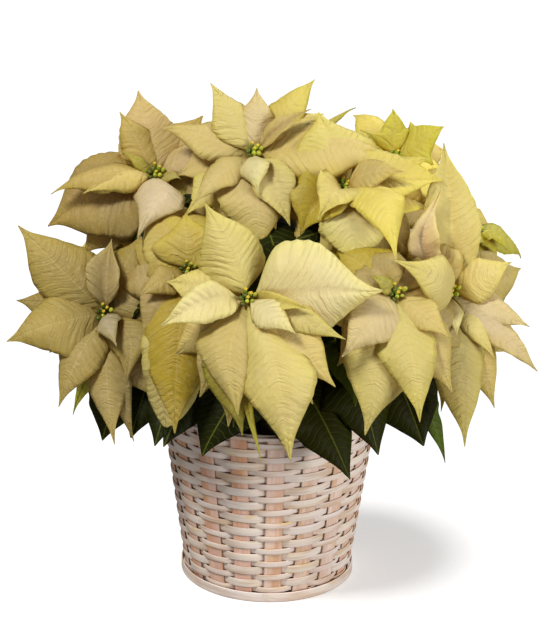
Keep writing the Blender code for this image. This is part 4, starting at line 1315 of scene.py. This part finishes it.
def make_basket():
    wide = wood_material("wide splint", (226, 192, 160), (240, 226, 210), 0.66, WIDE_SPLINT / 2)
    narrow = wood_material("narrow splint", (228, 190, 160), (242, 226, 212), 0.66, NARROW_SPLINT / 2)
    staves = wood_material("stake", (230, 180, 146), (240, 212, 188), 0.48, STAKE_WIDTH / 2)
    hoops = wood_material("bare wood", (226, 200, 180), (238, 224, 212), 0.66, 1.0)
    over = splint_grid(WIDE_SPLINT, WIDE_CROWN, WIDE_AT_FRONT, 1, 5)
    behind = splint_grid(NARROW_SPLINT, NARROW_CROWN, NARROW_AT_FRONT, 0, 6)
    make_round("wide_splint", "weaver_wide", "wide_splint", wide, *over, capped=True)
    make_round("narrow_splint", "weaver_narrow", "narrow_splint", narrow, *behind, capped=True)
    make_stakes(staves)
    outside = OVER_STAKE + SPLINT_THICKNESS / 2 + BAND_PLAY
    inside = BEHIND_STAKE + SPLINT_THICKNESS / 2 + SEAT_GAP + BAND_THICKNESS
    hoop = wall_radius(HOOP_HEIGHT) + outside
    outer_from = BASKET_HEIGHT - RIM_BAND_SEEN
    outer = wall_radius(outer_from) + outside
    inner_from = BASKET_HEIGHT - RIM_BAND_HEIGHT
    inner = wall_radius(inner_from) - inside
    band("foot_hoop", "bottom_hoop", hoops, hoop, 0, HOOP_HEIGHT, 0)
    band("rim_band_outer", "rim_outer", hoops, outer, outer_from, BASKET_HEIGHT, FLARE)
    band("rim_band_inner", "rim_inner", hoops, inner, inner_from, BASKET_HEIGHT, FLARE)
    return hoops


# The studio


def make_floor():
    bpy.ops.mesh.primitive_plane_add(size=30, location=(0, 0, 0))
    floor = bpy.context.object
    floor.name = "studio_floor"
    floor.data.materials.append(floor_material())
    floor.visible_diffuse = False
    floor.visible_glossy = False
    return floor


def add_lamp(name, kind, place, way, power):
    """A lamp at the place, which shines the way given."""
    data = bpy.data.lights.new(name, kind)
    data.energy = power
    lamp = bpy.data.objects.new(name, data)
    bpy.context.scene.collection.objects.link(lamp)
    lamp.location = place
    lamp.rotation_euler = way.to_track_quat("-Z", "Y").to_euler()
    return lamp


def soft_light(name, place, size, power, colour=(1, 1, 1)):
    """A square light that looks at the middle of the plant."""
    lamp = add_lamp(name, "AREA", place, LIT_MIDDLE - Vector(place), power)
    lamp.data.shape = "SQUARE"
    lamp.data.size = size
    lamp.data.color = colour
    return lamp


def light_group(name, pieces, state):
    """A group of pieces that a lamp lights, or passes by."""
    group = bpy.data.collections.new(name)
    for piece in pieces:
        group.objects.link(piece)
    for entry in group.collection_objects:
        entry.light_linking.link_state = state
    return group


def make_studio():
    """Soft lamps on the plant, and one on the floor, where the basket alone casts a shadow."""
    floor = make_floor()
    world = bpy.data.worlds.new("studio")
    world.use_nodes = True
    background = world.node_tree.nodes["Background"]
    background.inputs["Color"].default_value = (1, 1, 1, 1)
    background.inputs["Strength"].default_value = WORLD_LIGHT
    bpy.context.scene.world = world
    lamps = (
        soft_light("key", (-1.1, -1.2, 2.3), 0.6, 59, (1.0, 0.99, 0.96)),
        soft_light("fill", (2.1, -1.6, 0.7), 1.2, 50),
        soft_light("back", (0.9, 1.6, 2.0), 0.8, 28, (1.0, 0.98, 0.90)),
    )
    for lamp in lamps:
        passed = light_group(lamp.name + " passes by", [floor], "EXCLUDE")
        lamp.light_linking.receiver_collection = passed
    basket = [piece for piece in bpy.data.objects if piece.name.startswith(BASKET_NAMES)]
    low = soft_light("low", (-0.8, -2.3, 0.5), 1.0, 6, (1.0, 0.95, 0.90))
    low.light_linking.receiver_collection = light_group("low lamp lights", basket, "INCLUDE")
    floor_sun = add_lamp("floor", "SUN", SUN_WAY * SUN_DISTANCE, -SUN_WAY, 1.75)
    floor_sun.data.angle = SUN_SPREAD
    floor_sun.light_linking.receiver_collection = light_group("floor lamp lights", [floor], "INCLUDE")
    floor_sun.light_linking.blocker_collection = light_group("floor lamp meets", basket, "INCLUDE")
    bpy.context.scene.view_settings.view_transform = "Standard"


def make_camera():
    data = bpy.data.cameras.new("photo view")
    data.sensor_fit = "VERTICAL"
    data.sensor_height = 36
    data.lens = VIEW_LENS
    camera = bpy.data.objects.new("photo view", data)
    bpy.context.scene.collection.objects.link(camera)
    turn = Matrix((RIGHT, UP, TOWARDS)).transposed() @ Matrix.Rotation(VIEW_ROLL, 3, "Z")
    camera.matrix_world = Matrix.Translation(VIEW_TARGET + TOWARDS * VIEW_DISTANCE) @ turn.to_4x4()
    bpy.context.scene.camera = camera


def build():
    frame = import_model()
    make_bracts(bract_material())
    make_flowers(flower_material())
    green = leaf_material()
    make_stems(stem_material())
    make_leaves("green_leaves", outer_leaf_blades(), True, green)
    make_leaves("inner_leaves", inner_leaf_blades(), False, green)
    make_pot(pot_material())
    make_soil(soil_material())
    hoops = make_basket()
    for slot in frame["nodes"]["basket_base"].material_slots:
        slot.material = hoops
    make_studio()
    make_camera()


build()
